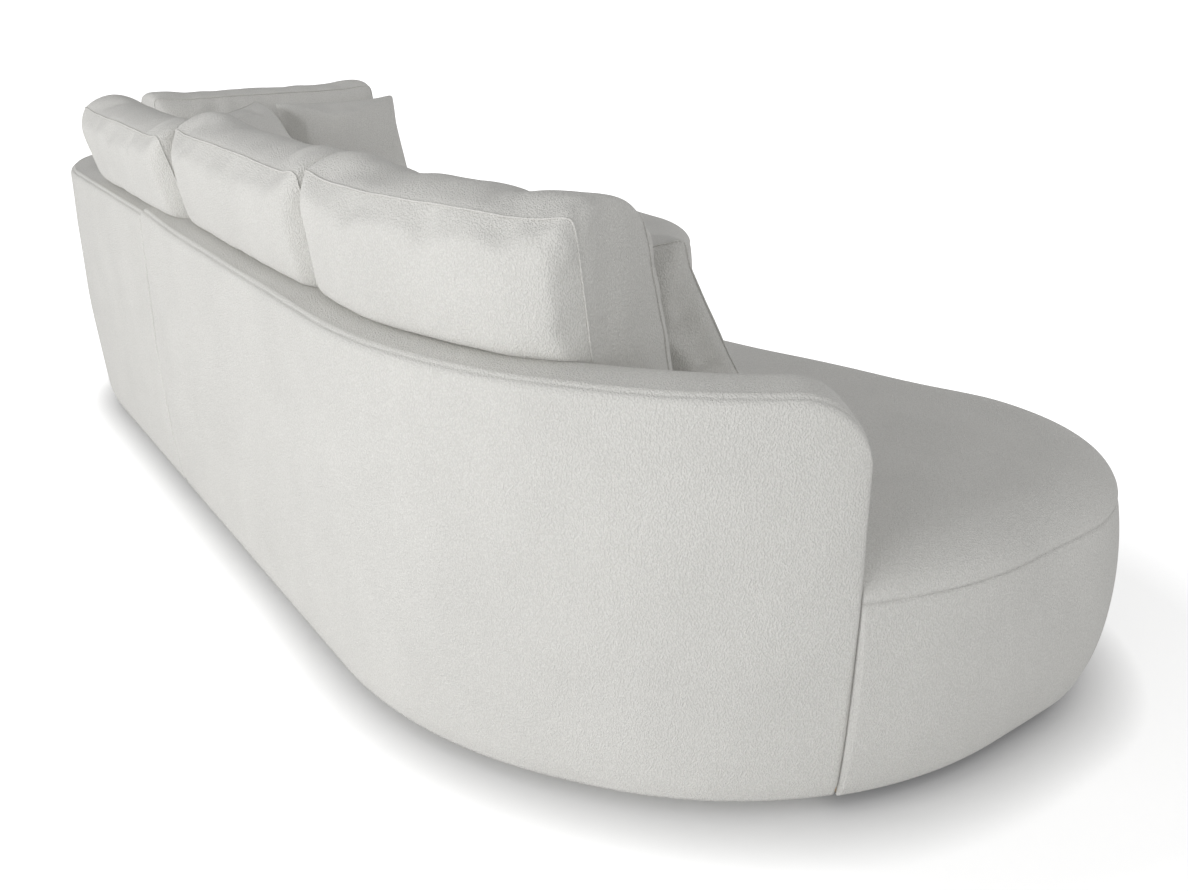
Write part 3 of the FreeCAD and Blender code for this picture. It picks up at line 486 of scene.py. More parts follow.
def top_fill(edge, crown):
    """Triangles inside a ring of top points, on a 22 mm grid, raised by crown(point)."""
    ring = np.array(edge)
    low, high = ring.min(0), ring.max(0)
    inside = []
    ax, ay = ring[:, 0], ring[:, 1]
    bx, by = np.roll(ax, -1), np.roll(ay, -1)
    for x in np.arange(low[0], high[0], 0.022):
        for y in np.arange(low[1], high[1], 0.022):
            span = (ay > y) != (by > y)
            with np.errstate(divide="ignore", invalid="ignore"):
                cut = (bx - ax) * (y - ay) / (by - ay) + ax
            crossings = np.count_nonzero(span & (x < cut)) % 2
            if crossings and np.min(np.hypot(ax - x, ay - y)) > 0.012:
                inside.append((x, y))
    flat = [Vector(p) for p in ring] + [Vector(p) for p in inside]
    count = len(ring)
    sides = [(i, (i + 1) % count) for i in range(count)]
    points, edges, faces = geometry.delaunay_2d_cdt(flat, sides, [], 1, 1e-6)[:3]
    return [(p.x, p.y, SEAT_TOP + crown(p)) for p in points], [tuple(f) for f in faces]


def seat_piece(name, line, normals, wall_side, swell, hollow_start=False):
    """line runs round the free edge to or from the joint; wall_side closes the ring along the wall.
    With hollow_start the first section lies in a hollow corner, so only its rounding is closed."""
    grid = []
    for p, n, amount in zip(line, normals, swell):
        grid.append([(p[0] - n[0] * d, p[1] - n[1] * d, z) for d, z in seat_section(amount)])
    cols = len(grid[0])
    points = [q for row in grid for q in row]
    faces = []
    for i in range(len(grid) - 1):
        for k in range(cols - 1):
            a = i * cols + k
            faces.append((a, a + 1, a + 1 + cols, a + cols))
    rim = [row[-1][:2] for row in grid]
    ring = rim + [tuple(q) for q in wall_side]
    wall_line = np.array(wall_side)
    free_line = np.array(line)

    def crown(p):
        spot = np.array([p.x, p.y])
        from_wall = np.min(np.linalg.norm(wall_line - spot, axis=1))
        from_edge = np.min(np.linalg.norm(free_line - spot, axis=1))
        return 0.010 * smooth_step(0.30, 0.50, from_wall) * smooth_step(0.117, 0.42, from_edge)

    top_points, top_faces = top_fill(ring, crown)
    base = len(points)
    points += top_points
    faces += [tuple(base + i for i in f) for f in top_faces]
    curtain = [rim[-1]] + [tuple(q) for q in wall_side] + ([] if hollow_start else [rim[0]])
    base = len(points)
    low = [(x, y, HEM) for x, y in curtain]
    high = [(x, y, SEAT_TOP) for x, y in curtain]
    points += high + low
    count = len(curtain)
    for i in range(count - 1):
        faces.append((base + i, base + i + 1, base + count + i + 1, base + count + i))
    closing = [(grid[-1], (*rim[-1], HEM)), (grid[0], (*rim[0], HEM))]
    if hollow_start:
        closing[1] = ([q for q in grid[0] if q[2] >= SEAT_SEAM], (*wall_side[-1], SEAT_TOP))
    for row, foot in closing:
        base = len(points)
        points += row + [foot]
        faces.append(tuple(range(base, base + len(row) + 1)))
    piece = make_piece(name, points, faces, cream_teddy, 0.00005)
    ruffle(piece, 0.0022, 0.15, 8.0, lambda q: smooth_step(0.03, 0.12, q[2]))
    return piece, grid


def long_seat_line():
    points, normals, runs, arcs = long_plan
    turn = np.arctan2(points[:, 1] - TIP_CENTRE[1], points[:, 0] - TIP_CENTRE[0])
    turn = np.where(turn < 0, turn + 2 * math.pi, turn)
    start = WALL_END_TURN + 0.001 / TIP_RADIUS
    keep = ((runs == 3) & (turn > start)) | ((runs > 3) & (runs <= 8))
    out = np.array([math.cos(start), math.sin(start)])
    return np.vstack([TIP_CENTRE + TIP_RADIUS * out, points[keep]]), np.vstack([out, normals[keep]])


def chaise_seat_line():
    points, normals, runs, arcs = chaise_plan
    keep = ((runs >= 3) & (runs <= 7)) | ((runs == 8) & (points[:, 1] < HALF_REACH - CHAISE_WALL_END - 0.001))
    first = np.array([HALF_LENGTH - JOINT_ALONG + JOINT_GAP / 2, HALF_REACH - 0.970])
    last = np.array([HALF_LENGTH, HALF_REACH - CHAISE_WALL_END - 0.001])
    keep &= ~((runs == 3) & (points[:, 1] > first[1] - 0.002))
    return np.vstack([first, points[keep], last]), np.vstack([[-1, 0], normals[keep], [1, 0]])


def swell_along(line, spot, most, least, reach, joint):
    """How far the skirt stands out: most near a spot, nothing where the modules meet."""
    away = np.linalg.norm(line - np.array(spot), axis=1)
    from_joint = np.linalg.norm(line - np.array(joint), axis=1)
    return (least + (most - least) * np.exp(-(away / reach) ** 2)) * smooth_step(0, 0.12, from_joint)


INSIDE_WALL = WALL_THICK + 0.001
line, out = long_seat_line()
wall_line, wall_out = long_wall_line()
inner = (wall_line - wall_out * INSIDE_WALL)[::6]
joint_x = HALF_LENGTH - JOINT_ALONG - JOINT_GAP / 2
along_joint = [(joint_x, y) for y in np.linspace(line[-1][1] + 0.14, inner[0][1] - 0.004, 24)]
end_turn = np.array([math.cos(WALL_END_TURN + 0.0014), math.sin(WALL_END_TURN + 0.0014)])
into = [tuple(TIP_CENTRE + end_turn * (TIP_RADIUS - d)) for d in np.linspace(INSIDE_WALL, 0.117, 3)]
nose = (-HALF_LENGTH + 0.1, -0.30)
long_seat, long_seat_grid = seat_piece("long_seat_upholstery", line, out,
                                       along_joint + [tuple(q) for q in inner] + into,
                                       swell_along(line, nose, 0.034, 0.016, 0.75, line[-1]))
line, out = chaise_seat_line()
wall_line, wall_out = chaise_wall_line()
inner = (wall_line - wall_out * INSIDE_WALL)[::6]
joint_x = HALF_LENGTH - JOINT_ALONG + JOINT_GAP / 2
inner_top = inner[inner[:, 0] > joint_x + 0.004]
up_joint = [(joint_x, y) for y in np.linspace(HALF_REACH - INSIDE_WALL, line[0][1], 24)]
chaise_side = [(HALF_LENGTH - INSIDE_WALL, HALF_REACH - CHAISE_WALL_END - 0.001)]
chaise_seat, chaise_seat_grid = seat_piece("chaise_seat_upholstery", line, out,
                                           chaise_side + [tuple(q) for q in inner_top] + up_joint,
                                           swell_along(line, (0.9, -0.87), 0.026, 0.016, 0.6, line[0]), True)
for piece, module in ((long_seat, "long"), (chaise_seat, "chaise")):
    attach(piece, module + "_module")
    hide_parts(module + "_seat_cover", module + "_seat_foam", module + "_skirt_padding")
    print(piece.name, len(piece.data.polygons), "faces")

# %% [markdown]
# The back cushions are boxed: a front and a back panel, joined by a band. The pattern is cut flat as
# two grids with rounded corners and a strip between them. Cloth simulation with inner pressure then
# fills it, while the seam rows shrink a little, which is what gathers real seams into small puckers.

# %% Cushion patterns
CUSHION_STEP = 0.0095


def boxed_pattern(length, height, depth, corner, crown, bow=0.016, step=CUSHION_STEP):
    """Points (across, up, through), faces, and the two seam rings of a boxed cushion. The sides are
    cut bowed out, because filling draws them in again."""
    nu, nv, nb = round(length / step), round(height / step), max(8, round(depth / step))
    across, up = np.linspace(-length / 2, length / 2, nu + 1), np.linspace(-height / 2, height / 2, nv + 1)
    points, faces, rings = [], [], []

    def rounded(u, v):
        a, b = (abs(u) - (length / 2 - corner)) / corner, (abs(v) - (height / 2 - corner)) / corner
        if a > 0 and b > 0:
            a, b = a * math.sqrt(1 - b * b / 2), b * math.sqrt(1 - a * a / 2)
            u = math.copysign(length / 2 - corner + a * corner, u)
            v = math.copysign(height / 2 - corner + b * corner, v)
        wider, taller = 1 - (2 * v / height) ** 2, 1 - (2 * u / length) ** 2
        return u * (1 + 2 * bow / length * wider), v * (1 + 2 * bow / height * taller)

    border = [(i, 0) for i in range(nu)] + [(nu, k) for k in range(nv)]
    border += [(i, nv) for i in range(nu, 0, -1)] + [(0, k) for k in range(nv, 0, -1)]
    for side in (-1, 1):
        base = len(points)
        for i, u in enumerate(across):
            for k, v in enumerate(up):
                rise = crown * (1 - (2 * u / length) ** 4) * (1 - (2 * v / height) ** 4)
                x, y = rounded(u, v)
                points.append((x, y, side * (depth / 2 + rise)))
        for i in range(nu):
            for k in range(nv):
                a = base + i * (nv + 1) + k
                quad = (a, a + 1, a + nv + 2, a + nv + 1)
                faces.append(quad if side < 0 else quad[::-1])
        rings.append([base + i * (nv + 1) + k for i, k in border])
    rows = [rings[0]]
    count = len(border)
    for j in range(1, nb):
        base = len(points)
        for spot in rings[0]:
            x, y, z = points[spot]
            out = 1 + 0.03 * math.sin(math.pi * j / nb)
            points.append((x * out, y * out, -depth / 2 + depth * j / nb))
        rows.append(list(range(base, base + count)))
    rows.append(rings[1])
    for low, high in zip(rows, rows[1:]):
        for i in range(count):
            k = (i + 1) % count
            faces.append((low[i], low[k], high[k], high[i]))
    return np.array(points), faces, rings


def knife_pattern(half, thick, step):
    """Points, faces and the seam ring of a scatter cushion: two square panels sewn edge to edge."""
    n = round(2 * half / step)
    points, faces = [], []
    rows = np.linspace(-1, 1, n + 1)
    index = {}
    for side in (-1, 1):
        for i, u in enumerate(rows):
            for k, v in enumerate(rows):
                edge = i in (0, n) or k in (0, n)
                if edge and side > 0:
                    index[side, i, k] = index[-1, i, k]
                    continue
                index[side, i, k] = len(points)
                rise = thick * ((1 - u * u) * (1 - v * v)) ** 0.5
                points.append((u * half, v * half, side * rise))
        for i in range(n):
            for k in range(n):
                quad = tuple(index[side, i + a, k + b] for a, b in ((0, 0), (0, 1), (1, 1), (1, 0)))
                faces.append(quad if side < 0 else quad[::-1])
    border = [(i, 0) for i in range(n)] + [(n, k) for k in range(n)]
    border += [(i, n) for i in range(n, 0, -1)] + [(0, k) for k in range(n, 0, -1)]
    return np.array(points), faces, [[index[-1, i, k] for i, k in border]]


def fill_with_pressure(points, faces, rings, pressure, gather, cap, frames=20, bending=0.4):
    """Cloth simulation of a closed pattern; returns the filled points, each moved at most by cap."""
    mesh = bpy.data.meshes.new("pattern")
    mesh.from_pydata([tuple(p) for p in points], [], faces)
    trial = bpy.data.objects.new("pattern", mesh)
    bpy.context.scene.collection.objects.link(trial)
    seam = trial.vertex_groups.new(name="seam")
    for ring in rings:
        seam.add(ring, 1.0, "REPLACE")
    cloth = trial.modifiers.new("fill", "CLOTH")
    rules = cloth.settings
    rules.quality = 4
    rules.mass = 0.3
    rules.tension_stiffness = rules.compression_stiffness = 12
    rules.shear_stiffness = 4
    rules.bending_stiffness = bending
    rules.use_pressure = True
    rules.uniform_pressure_force = pressure
    rules.effector_weights.gravity = 0
    rules.vertex_group_shrink = "seam"
    rules.shrink_min = 0.0
    rules.shrink_max = gather
    cloth.collision_settings.use_collision = False
    cloth.collision_settings.use_self_collision = False
    cloth.point_cache.frame_start, cloth.point_cache.frame_end = 1, frames
    scene = bpy.context.scene
    for f in range(1, frames + 1):
        scene.frame_set(f)
    evaluated = trial.evaluated_get(bpy.context.evaluated_depsgraph_get())
    moved = coordinates(evaluated.data)
    scene.frame_set(1)
    bpy.data.objects.remove(trial)
    bpy.data.meshes.remove(mesh)
    step = moved - points
    length = np.linalg.norm(step, axis=1, keepdims=True)
    return points + step * np.minimum(1, cap / np.maximum(length, 1e-9))


# %% [markdown]
# A cushion stands on the seat, leans on the wall and hangs over its top edge. Its filled shape is
# carried from flat coordinates into the sofa: across becomes length along the wall, through becomes
# depth from the wall's outer face. Where it meets wall, seat or the next cushion it is pressed flat.

# %% Back cushions
WALL_LINES = {"long": long_wall_line(), "chaise": chaise_wall_line()}


def on_wall(module, along, depth):
    """A place on the plan: length along a wall's outer line, and depth in from it."""
    points, normals = WALL_LINES[module]
    spots, face = resample(points, normals, along)
    return spots - face * np.asarray(depth)[:, None]


def soft_floor(value, least, give):
    """Never below least, with a soft corner."""
    gap = value - least
    return least + 0.5 * (gap + np.sqrt(gap * gap + give * give))


def rest_on_wall(depth, z):
    """Presses a cushion's back against the wall: pushed in below the wall's top, lying on it above."""
    inside = WALL_THICK + 0.004
    low = np.clip((WALL_TOP + 0.012 - z) / 0.10, 0, 1)
    depth = np.where(depth < inside, depth + (inside - depth) * np.sin(low * np.pi / 2), depth)
    over = np.clip((depth - WALL_THICK + INNER_ROUND) / INNER_ROUND, 0, 1)
    skin = WALL_TOP + 0.006 - INNER_ROUND * (1 - np.sqrt(np.maximum(0, 1 - over ** 2)))
    return depth, np.where(depth < inside, np.maximum(z, skin), z)


CUSHIONS = {
    # name: (wall, from, to, top of the seam, depth at the foot, lean, band, flare of the far end, seed)
    "near_back_cushion": ("long", 0.850, 1.496, 0.899, 0.240, 0.094, 0.190, 0.54, 1),
    "middle_back_cushion": ("long", 0.180, 0.848, 0.890, 0.230, 0.096, 0.180, 0.0, 2),
    "corner_back_cushion": ("straight", 0.672, 1.330, 0.873, 0.228, 0.128, 0.175, 0.0, 3),
    "chaise_back_cushion": ("side", 0.272, 0.960, 0.848, 0.294, 0.022, 0.152, 0.0, 4),
}
PRESS_GAP, PRESS_SOFT = 0.0012, 0.006
FOOT_FULL, TOP_LOSS = 1.14, 0.22
CREST, FRONT_DROP = 0.014, 0.012


def sunk_top(part):
    """How far the near cushion's top has sunk, by the share of its length: a little near its first end,
    and more before its open end."""
    first_end = 0.007 * (1 - smooth_step(0.30, 0.55, part))
    open_end = 0.010 * smooth_step(0.68, 0.82, part) * (1 - 0.7 * smooth_step(0.93, 1.02, part))
    return first_end + open_end + 0.008 * smooth_step(0.55, 0.85, part)


def stand_cushion(name, points):
    """Carries filled points from the flat pattern on to the seat and against the wall."""
    wall, first, last, top, foot, lean, band, flare, seed = CUSHIONS[name]
    across, up, through = points.T
    z = up + SEAT_TOP + (top - SEAT_TOP) / 2
    share = np.clip((z - SEAT_TOP) / (top - SEAT_TOP), -0.1, 1.2)
    depth = foot + through * (FOOT_FULL - TOP_LOSS * share) - lean * share
    ply = np.clip(2 * through / band, -1, 1)
    crest = CREST * (1 - ply ** 2) - FRONT_DROP * smooth_step(-0.2, 1, ply)
    if wall != "side":
        z = z + crest * smooth_step(0.86, 1.0, share)
        depth, z = rest_on_wall(depth, z)
    z = soft_floor(z, SEAT_TOP + PRESS_GAP, PRESS_SOFT)
    middle = (first + last) / 2
    half = (last - first) / 2 - PRESS_GAP
    along = middle - half + soft_floor(across + half, 0, PRESS_SOFT)
    along = middle + half - soft_floor(middle + half - along, 0, PRESS_SOFT)
    if flare:
        part, high = (along - first) / (last - first), np.clip(share, 0, 1)
        z = z - sunk_top(part) * high * smooth_step(0.04, 0.14, depth)
        along = along + (flare * np.maximum(0, depth - 0.13) - 0.022 * high) * smooth_step(0.5, 1.0, part)
        along = along + crest * smooth_step(0.93, 1.0, part)
    if wall == "straight":
        # Its front is drawn back where a scatter cushion leans, so that it can be lifted past it
        room = 0.285 + 0.1 * smooth_step(0.80, 0.98, along)
        depth = room - soft_floor(room - depth, 0, 0.010)
    if wall == "long":
        plan = on_wall("long", along, depth)
    elif wall == "straight":
        plan = np.stack([HALF_LENGTH - along, HALF_REACH - depth], 1)
    else:
        plan = np.stack([HALF_LENGTH - depth, HALF_REACH - along], 1)
    return np.column_stack([plan, z])


def relaxed(points, faces, rounds):
    """Eases creases: each point moves half way to the mean of its neighbours, a few times."""
    links = np.array([(f[i], f[(i + 1) % len(f)]) for f in faces for i in range(len(f))])
    links = np.vstack([links, links[:, ::-1]])
    count = np.bincount(links[:, 0], minlength=len(points))[:, None]
    for _ in range(rounds):
        total = np.stack([np.bincount(links[:, 0], points[links[:, 1], k], len(points)) for k in range(3)], 1)
        points = points + 0.5 * (total / count - points)
    return points


def back_cushion(name):
    wall, first, last, top, foot, lean, band, flare, seed = CUSHIONS[name]
    length, height = last - first + 0.014, top - SEAT_TOP
    points, faces, rings = boxed_pattern(length, height, band, 0.023, 0.012)
    start = np.array([noise.noise(Vector(p) * 9 + Vector((seed * 5.0, 0, 0))) for p in points])
    points = points * (1 + 0.004 * start[:, None])
    points = fill_with_pressure(points, faces, rings, 4.0, 0.03, 0.030)
    size = np.ptp(points[rings[0] + rings[1]], axis=0)
    points[:, :2] *= np.array([length, height]) / size[:2]
    placed = relaxed(stand_cushion(name, points), faces, 5)
    piece = make_piece(name, placed, faces, cream_teddy, 0.0)
    ruffle(piece, 0.0024, 0.055, seed)
    if flare:
        # Small creases round the seam corner at the open end
        ring = placed[rings[0]]
        corner = ring[np.argmax(ring[:, 2] - 0.8 * ring[:, 0])]
        ruffle(piece, 0.0065, 0.019, seed, lambda p: math.exp(-((p - corner) ** 2).sum() / 0.0030))
    return piece, rings


cushion_rings = {}
for name in CUSHIONS:
    piece, rings = back_cushion(name)
    cushion_rings[name] = rings
    box = coordinates(piece.data)
    print(name, len(piece.data.polygons), "faces, top", round(box[:, 2].max(), 3))

# %% [markdown]
# The scatter cushions have no band: two square panels are sewn edge to edge and turned out. They are
# filled the same way with less pressure, tipped back to lean, and held in front of the back cushions
# so that each one can be lifted out.

# %% Scatter cushions
SCATTERS = {
    # name: (along, out, height, faces, leans, turned in its own plane, half width, half height)
    "chaise_scatter_cushion": (0.552, 0.775, 0.634, 180, 24, 0, 0.196, 0.212),
    "corner_scatter_cushion": (0.696, 0.448, 0.655, 215, 34, 5, 0.205, 0.210),
    "near_scatter_cushion": (2.240, 0.484, 0.624, -51, 39, -11, 0.212, 0.212),
}


def scatter_cushion(name, seed):
    along, out, height, faces_way, leans, turned, wide, tall = SCATTERS[name]
    points, faces, rings = knife_pattern(wide, 0.055, 0.0095)
    points[:, 1] *= tall / wide
    bumps = np.array([noise.noise(Vector(p) * 11 + Vector((0, seed * 4.0, 0))) for p in points])
    points[:, 2] *= 1 + 0.06 * bumps
    points = fill_with_pressure(points, faces, rings, 3.0, 0.04, 0.028)
    points[:, :2] *= np.array([wide, tall]) * 2 / np.ptp(points[:, :2], axis=0)
    upright = Matrix.Rotation(math.radians(faces_way + 90), 3, "Z")
    turn = (upright @ Matrix.Rotation(math.radians(90 - leans), 3, "X")
            @ Matrix.Rotation(math.radians(turned), 3, "Z"))
    spot = np.array([HALF_LENGTH - along, HALF_REACH - out, height])
    placed = points @ np.array(turn).T + spot
    placed[:, 2] = soft_floor(placed[:, 2], SEAT_TOP + 0.003, 0.008)
    if name != "near_scatter_cushion":
        share = np.clip((placed[:, 2] - SEAT_TOP) / 0.44, 0, 1)
        chaise_front, corner_front = 0.428 - 0.04 * share, np.maximum(0.366 - 0.15 * share, 0.296)
        placed[:, 0] = HALF_LENGTH - soft_floor(HALF_LENGTH - placed[:, 0], chaise_front, 0.008)
        placed[:, 1] = HALF_REACH - soft_floor(HALF_REACH - placed[:, 1], corner_front, 0.008)
    return make_piece(name, relaxed(placed, faces, 2), faces, cream_teddy, 0.0), rings


for seed, name in enumerate(SCATTERS, 11):
    piece, rings = scatter_cushion(name, seed)
    cushion_rings[name] = rings
    print(name, len(piece.data.polygons), "faces")

# %% [markdown]
# Every boxed seam carries a thin welt, a cord wrapped in the same fabric. It follows the seam row of
# the filled mesh, so it is a small Geometry Nodes tree: the row becomes a curve, and a circle is
# carried along it.

# %% Welts


def socket_of(tree, name):
    return next(item.identifier for item in tree.interface.items_tree if item.name == name)


def welt_tree(material):
    tree = bpy.data.node_groups.new("welt", "GeometryNodeTree")
    tree.interface.new_socket("Geometry", in_out="INPUT", socket_type="NodeSocketGeometry")
    tree.interface.new_socket("Radius", in_out="INPUT", socket_type="NodeSocketFloat")
    tree.interface.new_socket("Sides", in_out="INPUT", socket_type="NodeSocketInt")
    tree.interface.new_socket("Geometry", in_out="OUTPUT", socket_type="NodeSocketGeometry")
    inside, outside = tree.nodes.new("NodeGroupInput"), tree.nodes.new("NodeGroupOutput")
    curve = tree.nodes.new("GeometryNodeMeshToCurve")
    ring = tree.nodes.new("GeometryNodeCurvePrimitiveCircle")
    tube = tree.nodes.new("GeometryNodeCurveToMesh")
    real = tree.nodes.new("GeometryNodeRealizeInstances")
    paint = tree.nodes.new("GeometryNodeSetMaterial")
    paint.inputs["Material"].default_value = material
    for out, into in (
            (inside.outputs["Geometry"], curve.inputs[0]), (inside.outputs["Radius"], ring.inputs["Radius"]),
            (inside.outputs["Sides"], ring.inputs["Resolution"]), (curve.outputs[0], tube.inputs[0]),
            (ring.outputs[0], tube.inputs[1]), (tube.outputs[0], real.inputs[0]),
            (real.outputs[0], paint.inputs[0]), (paint.outputs[0], outside.inputs[0])):
        link(tree, out, into)
    return tree


seam_welt = welt_tree(cream_teddy)


def run_tree(name, points, edges, tree, **values):
    """Puts points and edges through a tree and keeps the result as a plain mesh object."""
    guide = bpy.data.meshes.new(name + "_guide")
    guide.from_pydata([tuple(p) for p in points], edges, [])
    holder = bpy.data.objects.new(name + "_guide", guide)
    bpy.context.scene.collection.objects.link(holder)
    nodes = holder.modifiers.new("tree", "NODES")
    nodes.node_group = tree
    for key, value in values.items():
        nodes[socket_of(tree, key)] = value
    mesh = bpy.data.meshes.new_from_object(holder.evaluated_get(bpy.context.evaluated_depsgraph_get()))
    bpy.data.objects.remove(holder)
    bpy.data.meshes.remove(guide)
    mesh.name = name
    mesh.shade_smooth()
    piece = bpy.data.objects.new(name, mesh)
    bpy.context.scene.collection.objects.link(piece)
    return piece


def loop_edges(count, base=0):
    return [(base + i, base + (i + 1) % count) for i in range(count)]


for name, rings in cushion_rings.items():
    piece = bpy.data.objects[name]
    spots = coordinates(piece.data)
    normals = np.array([v.normal for v in piece.data.vertices])
    points, edges = [], []
    for ring in rings:
        row = spots[ring] + normals[ring] * 0.0008
        for _ in range(2):
            row = (np.roll(row, 1, 0) + 2 * row + np.roll(row, -1, 0)) / 4
        edges += loop_edges(len(ring), len(points))
        points += [tuple(p) for p in row]
    welt = run_tree(name + "_welt", points, edges, seam_welt, Radius=0.0015, Sides=8)
    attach(piece, name)
    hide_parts(name + "_cover", name + "_filling")
    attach(welt, name)
    smooth = piece.modifiers.new("smooth", "SUBSURF")
    smooth.levels = smooth.render_levels = 1
print("welts:", len(cushion_rings))

# %% [markdown]
# Two things repeat by the hundred: the lockstitch beside each long seam, and the staples that hold the
# dust cover under each module. Both are one small shape instanced along a guide line, so one tree
# makes them: the line is cut at even pitch and the shape is turned to follow it.

# %% Stitches and staples
SEAM_ROW, SEAT_SEAM_ROW = 78, 39
STAPLE_INSET, STAPLE_HEIGHT = 0.016, 0.0316


def row_tree(name, material):
    tree = bpy.data.node_groups.new(name, "GeometryNodeTree")
    tree.interface.new_socket("Geometry", in_out="INPUT", socket_type="NodeSocketGeometry")
    for label in ("Pitch", "Length", "Width"):
        tree.interface.new_socket(label, in_out="INPUT", socket_type="NodeSocketFloat")
    tree.interface.new_socket("Geometry", in_out="OUTPUT", socket_type="NodeSocketGeometry")
    inside, outside = tree.nodes.new("NodeGroupInput"), tree.nodes.new("NodeGroupOutput")
    curve = tree.nodes.new("GeometryNodeMeshToCurve")
    spots = tree.nodes.new("GeometryNodeCurveToPoints")
    spots.mode = "LENGTH"
    shape = tree.nodes.new("GeometryNodeMeshIcoSphere")
    shape.inputs["Radius"].default_value = 0.5
    shape.inputs["Subdivisions"].default_value = 2
    stretch = tree.nodes.new("ShaderNodeCombineXYZ")
    rows = tree.nodes.new("GeometryNodeInstanceOnPoints")
    real = tree.nodes.new("GeometryNodeRealizeInstances")
    paint = tree.nodes.new("GeometryNodeSetMaterial")
    paint.inputs["Material"].default_value = material
    for out, into in (
            (inside.outputs["Geometry"], curve.inputs[0]), (curve.outputs[0], spots.inputs[0]),
            (inside.outputs["Pitch"], spots.inputs["Length"]), (inside.outputs["Width"], stretch.inputs[0]),
            (inside.outputs["Width"], stretch.inputs[1]), (inside.outputs["Length"], stretch.inputs[2]),
            (spots.outputs["Points"], rows.inputs["Points"]), (shape.outputs[0], rows.inputs["Instance"]),
            (spots.outputs["Rotation"], rows.inputs["Rotation"]), (stretch.outputs[0], rows.inputs["Scale"]),
            (rows.outputs[0], real.inputs[0]), (real.outputs[0], paint.inputs[0]),
            (paint.outputs[0], outside.inputs[0])):
        link(tree, out, into)
    return tree


def on_skin(piece, points, lift):
    """The points moved on to a piece's skin and raised a little."""
    moved = []
    for p in points:
        spot, normal = piece.closest_point_on_mesh(Vector(p))[1:3]
        moved.append(spot + normal * lift)
    return moved


stitch_rows, staple_rows = row_tree("stitch_row", cream_teddy), row_tree("staple_row", zinc_steel)
for module, wall, wall_grid, seat, seat_grid in (
        ("long", long_wall, long_grid, long_seat, long_seat_grid),
        ("chaise", chaise_wall, chaise_grid, chaise_seat, chaise_seat_grid)):
    top_line = on_skin(wall, [row[SEAM_ROW + 3] for row in wall_grid], 0.0002)
    rim_line = on_skin(seat, [row[SEAT_SEAM_ROW + 2] for row in seat_grid], 0.0002)
    edges = [(i, i + 1) for i in range(len(top_line) - 1)]
    edges += [(len(top_line) + i, len(top_line) + i + 1) for i in range(len(rim_line) - 1)]
    stitches = run_tree(module + "_stitches", top_line + rim_line, edges, stitch_rows,
                        Pitch=0.0055, Length=0.0040, Width=0.0009)
    points, normals, runs, arcs = long_plan if module == "long" else chaise_plan
    hem_line = [(x, y, STAPLE_HEIGHT) for x, y in points - normals * STAPLE_INSET]
    staples = run_tree(module + "_staples", hem_line, loop_edges(len(hem_line)), staple_rows,
                       Pitch=0.045, Length=0.010, Width=0.0011)
    for piece in (stitches, staples):
        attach(piece, module + "_module")
        print(piece.name, len(piece.data.polygons), "faces")

# %% [markdown]
# The floor is a pale sheet that shows white to the camera through a glow that only camera rays see,
# and keeps the sofa's real soft shadow in its diffuse part. The glow is dimmed by ambient occlusion
# near the hem and in a disc round a spot by the open end, which paints a darker contact shadow and a
# soft shadow pool on top. The light is an even sky and one broad lamp on the wall's outer side, as
# from a window, so the outer wall is bright and the seat behind it falls into soft shade. Two weak
# lamps lift the open end and the front.

# %% Stage


def stage_floor():
    mesh = bpy.data.meshes.new("floor")
    mesh.from_pydata([(-60, -60, 0), (60, -60, 0), (60, 60, 0), (-60, 60, 0)], [], [(0, 1, 2, 3)])
    made, tree, shader = new_material("pale_floor")
    shader.inputs["Base Color"].default_value = (0.9, 0.9, 0.9, 1)
    shader.inputs["Roughness"].default_value = 1.0
    shader.inputs["Specular IOR Level"].default_value = 0.0
    glow = add(tree, "ShaderNodeEmission")
    path = add(tree, "ShaderNodeLightPath")
    # Painted shade: the glow is dimmed by ambient occlusion near the hem, a painted contact shadow.
    open_sky = add(tree, "ShaderNodeAmbientOcclusion", samples=8, Distance=0.13)
    painted_contact_shade_mask = add(tree, "ShaderNodeMath", operation="POWER")
    link(tree, open_sky.outputs["AO"], painted_contact_shade_mask.inputs[0])
    painted_contact_shade_mask.inputs[1].default_value = 3.0
    # Painted shadow: the glow is also dimmed in a disc round a spot by the open end, a painted shadow pool.
    place = add(tree, "ShaderNodeTexCoord")
    away = add(tree, "ShaderNodeVectorMath", operation="DISTANCE")
    link(tree, place.outputs["Object"], away.inputs[0])
    away.inputs[1].default_value = (-1.15, -0.05, 0)
    far = add(tree, "ShaderNodeMapRange", From_Min=0.6, From_Max=1.25, To_Min=0.44, To_Max=1.0)
    link(tree, away.outputs["Value"], far.inputs["Value"])
    lit = add(tree, "ShaderNodeMath", operation="MULTIPLY")
    link(tree, painted_contact_shade_mask.outputs[0], lit.inputs[0])
    link(tree, far.outputs[0], lit.inputs[1])
    seen = add(tree, "ShaderNodeMath", operation="MULTIPLY")
    link(tree, path.outputs["Is Camera Ray"], seen.inputs[0])
    link(tree, lit.outputs[0], seen.inputs[1])
    link(tree, seen.outputs[0], glow.inputs["Strength"])
    both = tree.nodes.new("ShaderNodeAddShader")
    link(tree, shader.outputs[0], both.inputs[0])
    link(tree, glow.outputs[0], both.inputs[1])
    link(tree, both.outputs[0], tree.nodes["Material Output"].inputs["Surface"])
    mesh.materials.append(made)
    floor = bpy.data.objects.new("floor", mesh)
    bpy.context.scene.collection.objects.link(floor)


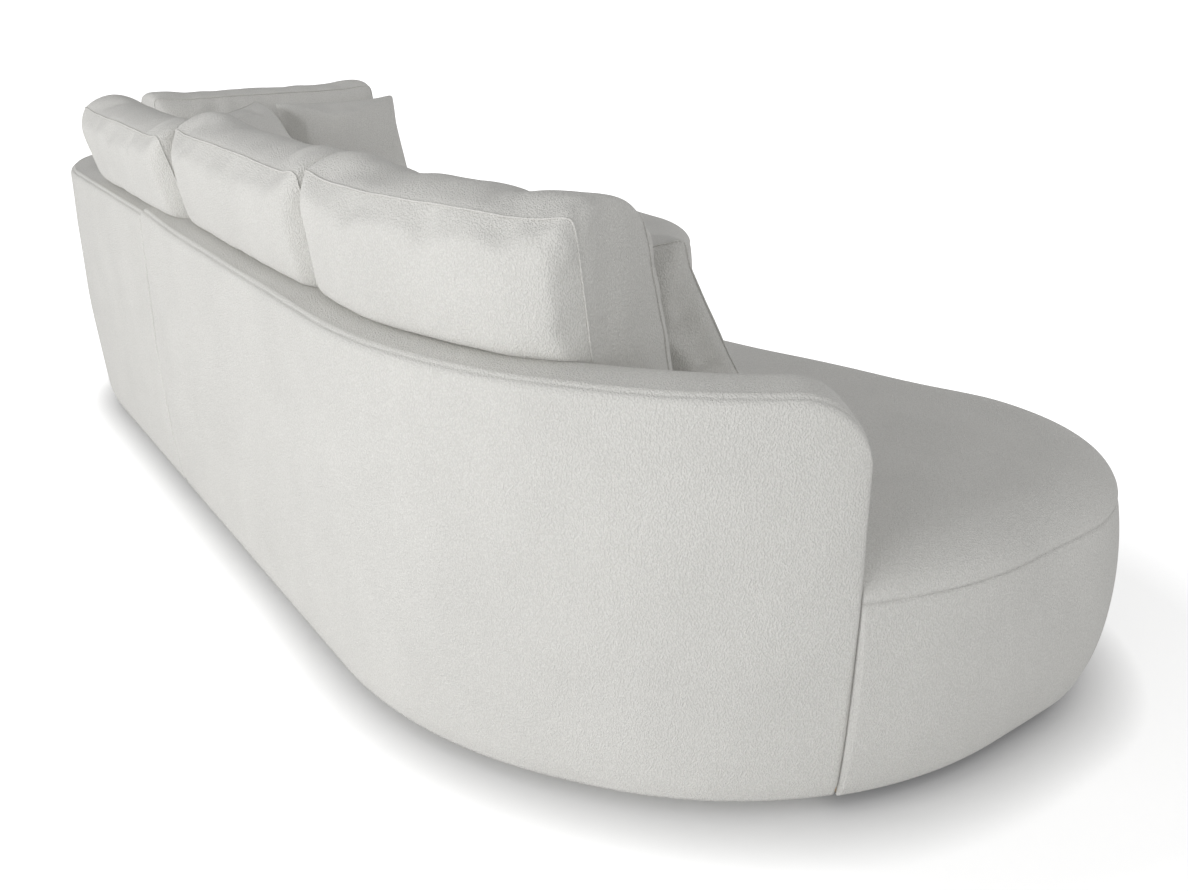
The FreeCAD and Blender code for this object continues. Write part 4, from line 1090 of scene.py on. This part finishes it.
def area_lamp(name, place, target, width, height, watts):
    lamp = bpy.data.lights.new(name, "AREA")
    lamp.shape = "RECTANGLE"
    lamp.size, lamp.size_y = width, height
    lamp.energy = watts
    holder = bpy.data.objects.new(name, lamp)
    holder.location = place
    holder.rotation_euler = (Vector(target) - Vector(place)).to_track_quat("-Z", "Y").to_euler()
    holder.visible_camera = False
    bpy.context.scene.collection.objects.link(holder)


def sky(strength):
    world = bpy.data.worlds.new("studio")
    bpy.context.scene.world = world
    world.use_nodes = True
    tree = world.node_tree
    plain = tree.nodes["Background"]
    path = add(tree, "ShaderNodeLightPath")
    seen = add(tree, "ShaderNodeMapRange", To_Min=strength, To_Max=1.0)
    link(tree, path.outputs["Is Camera Ray"], seen.inputs["Value"])
    plain.inputs["Color"].default_value = (1, 1, 1, 1)
    link(tree, seen.outputs[0], plain.inputs["Strength"])


stage_floor()
sky(0.455)
area_lamp("window", (-0.9, 5.4, 1.4), (-0.1, 0.3, 0.45), 5.0, 2.2, 136)
area_lamp("fill", (-6.0, -0.4, 1.9), (-0.8, 0.2, 0.5), 3.0, 2.4, 30)
area_lamp("room", (1.2, -6.0, 1.3), (0.2, 0.2, 0.5), 3.0, 2.0, 30)

# %% [markdown]
# The camera was worked out from the photograph: seat, wall and hem lines of known height give its
# place, tilt and lens for a frame of 1188 by 891.

# %% Camera
FRAME_WIDTH, FOCAL_PIXELS = 1188, 1071.4
camera = bpy.data.cameras.new("camera")
camera.sensor_width = 36.0
camera.lens = FOCAL_PIXELS / FRAME_WIDTH * camera.sensor_width
camera.clip_start, camera.clip_end = 0.05, 100
viewer = bpy.data.objects.new("camera", camera)
tilt, heading = math.radians(23.97), math.radians(-35.81)
ahead = Vector((math.cos(heading) * math.cos(tilt), math.sin(heading) * math.cos(tilt), -math.sin(tilt)))
viewer.location = (-2.214, 1.443, 1.1836)
viewer.rotation_euler = ahead.to_track_quat("-Z", "Y").to_euler()
bpy.context.scene.collection.objects.link(viewer)
bpy.context.scene.camera = viewer
bpy.context.scene.view_settings.view_transform = "Standard"
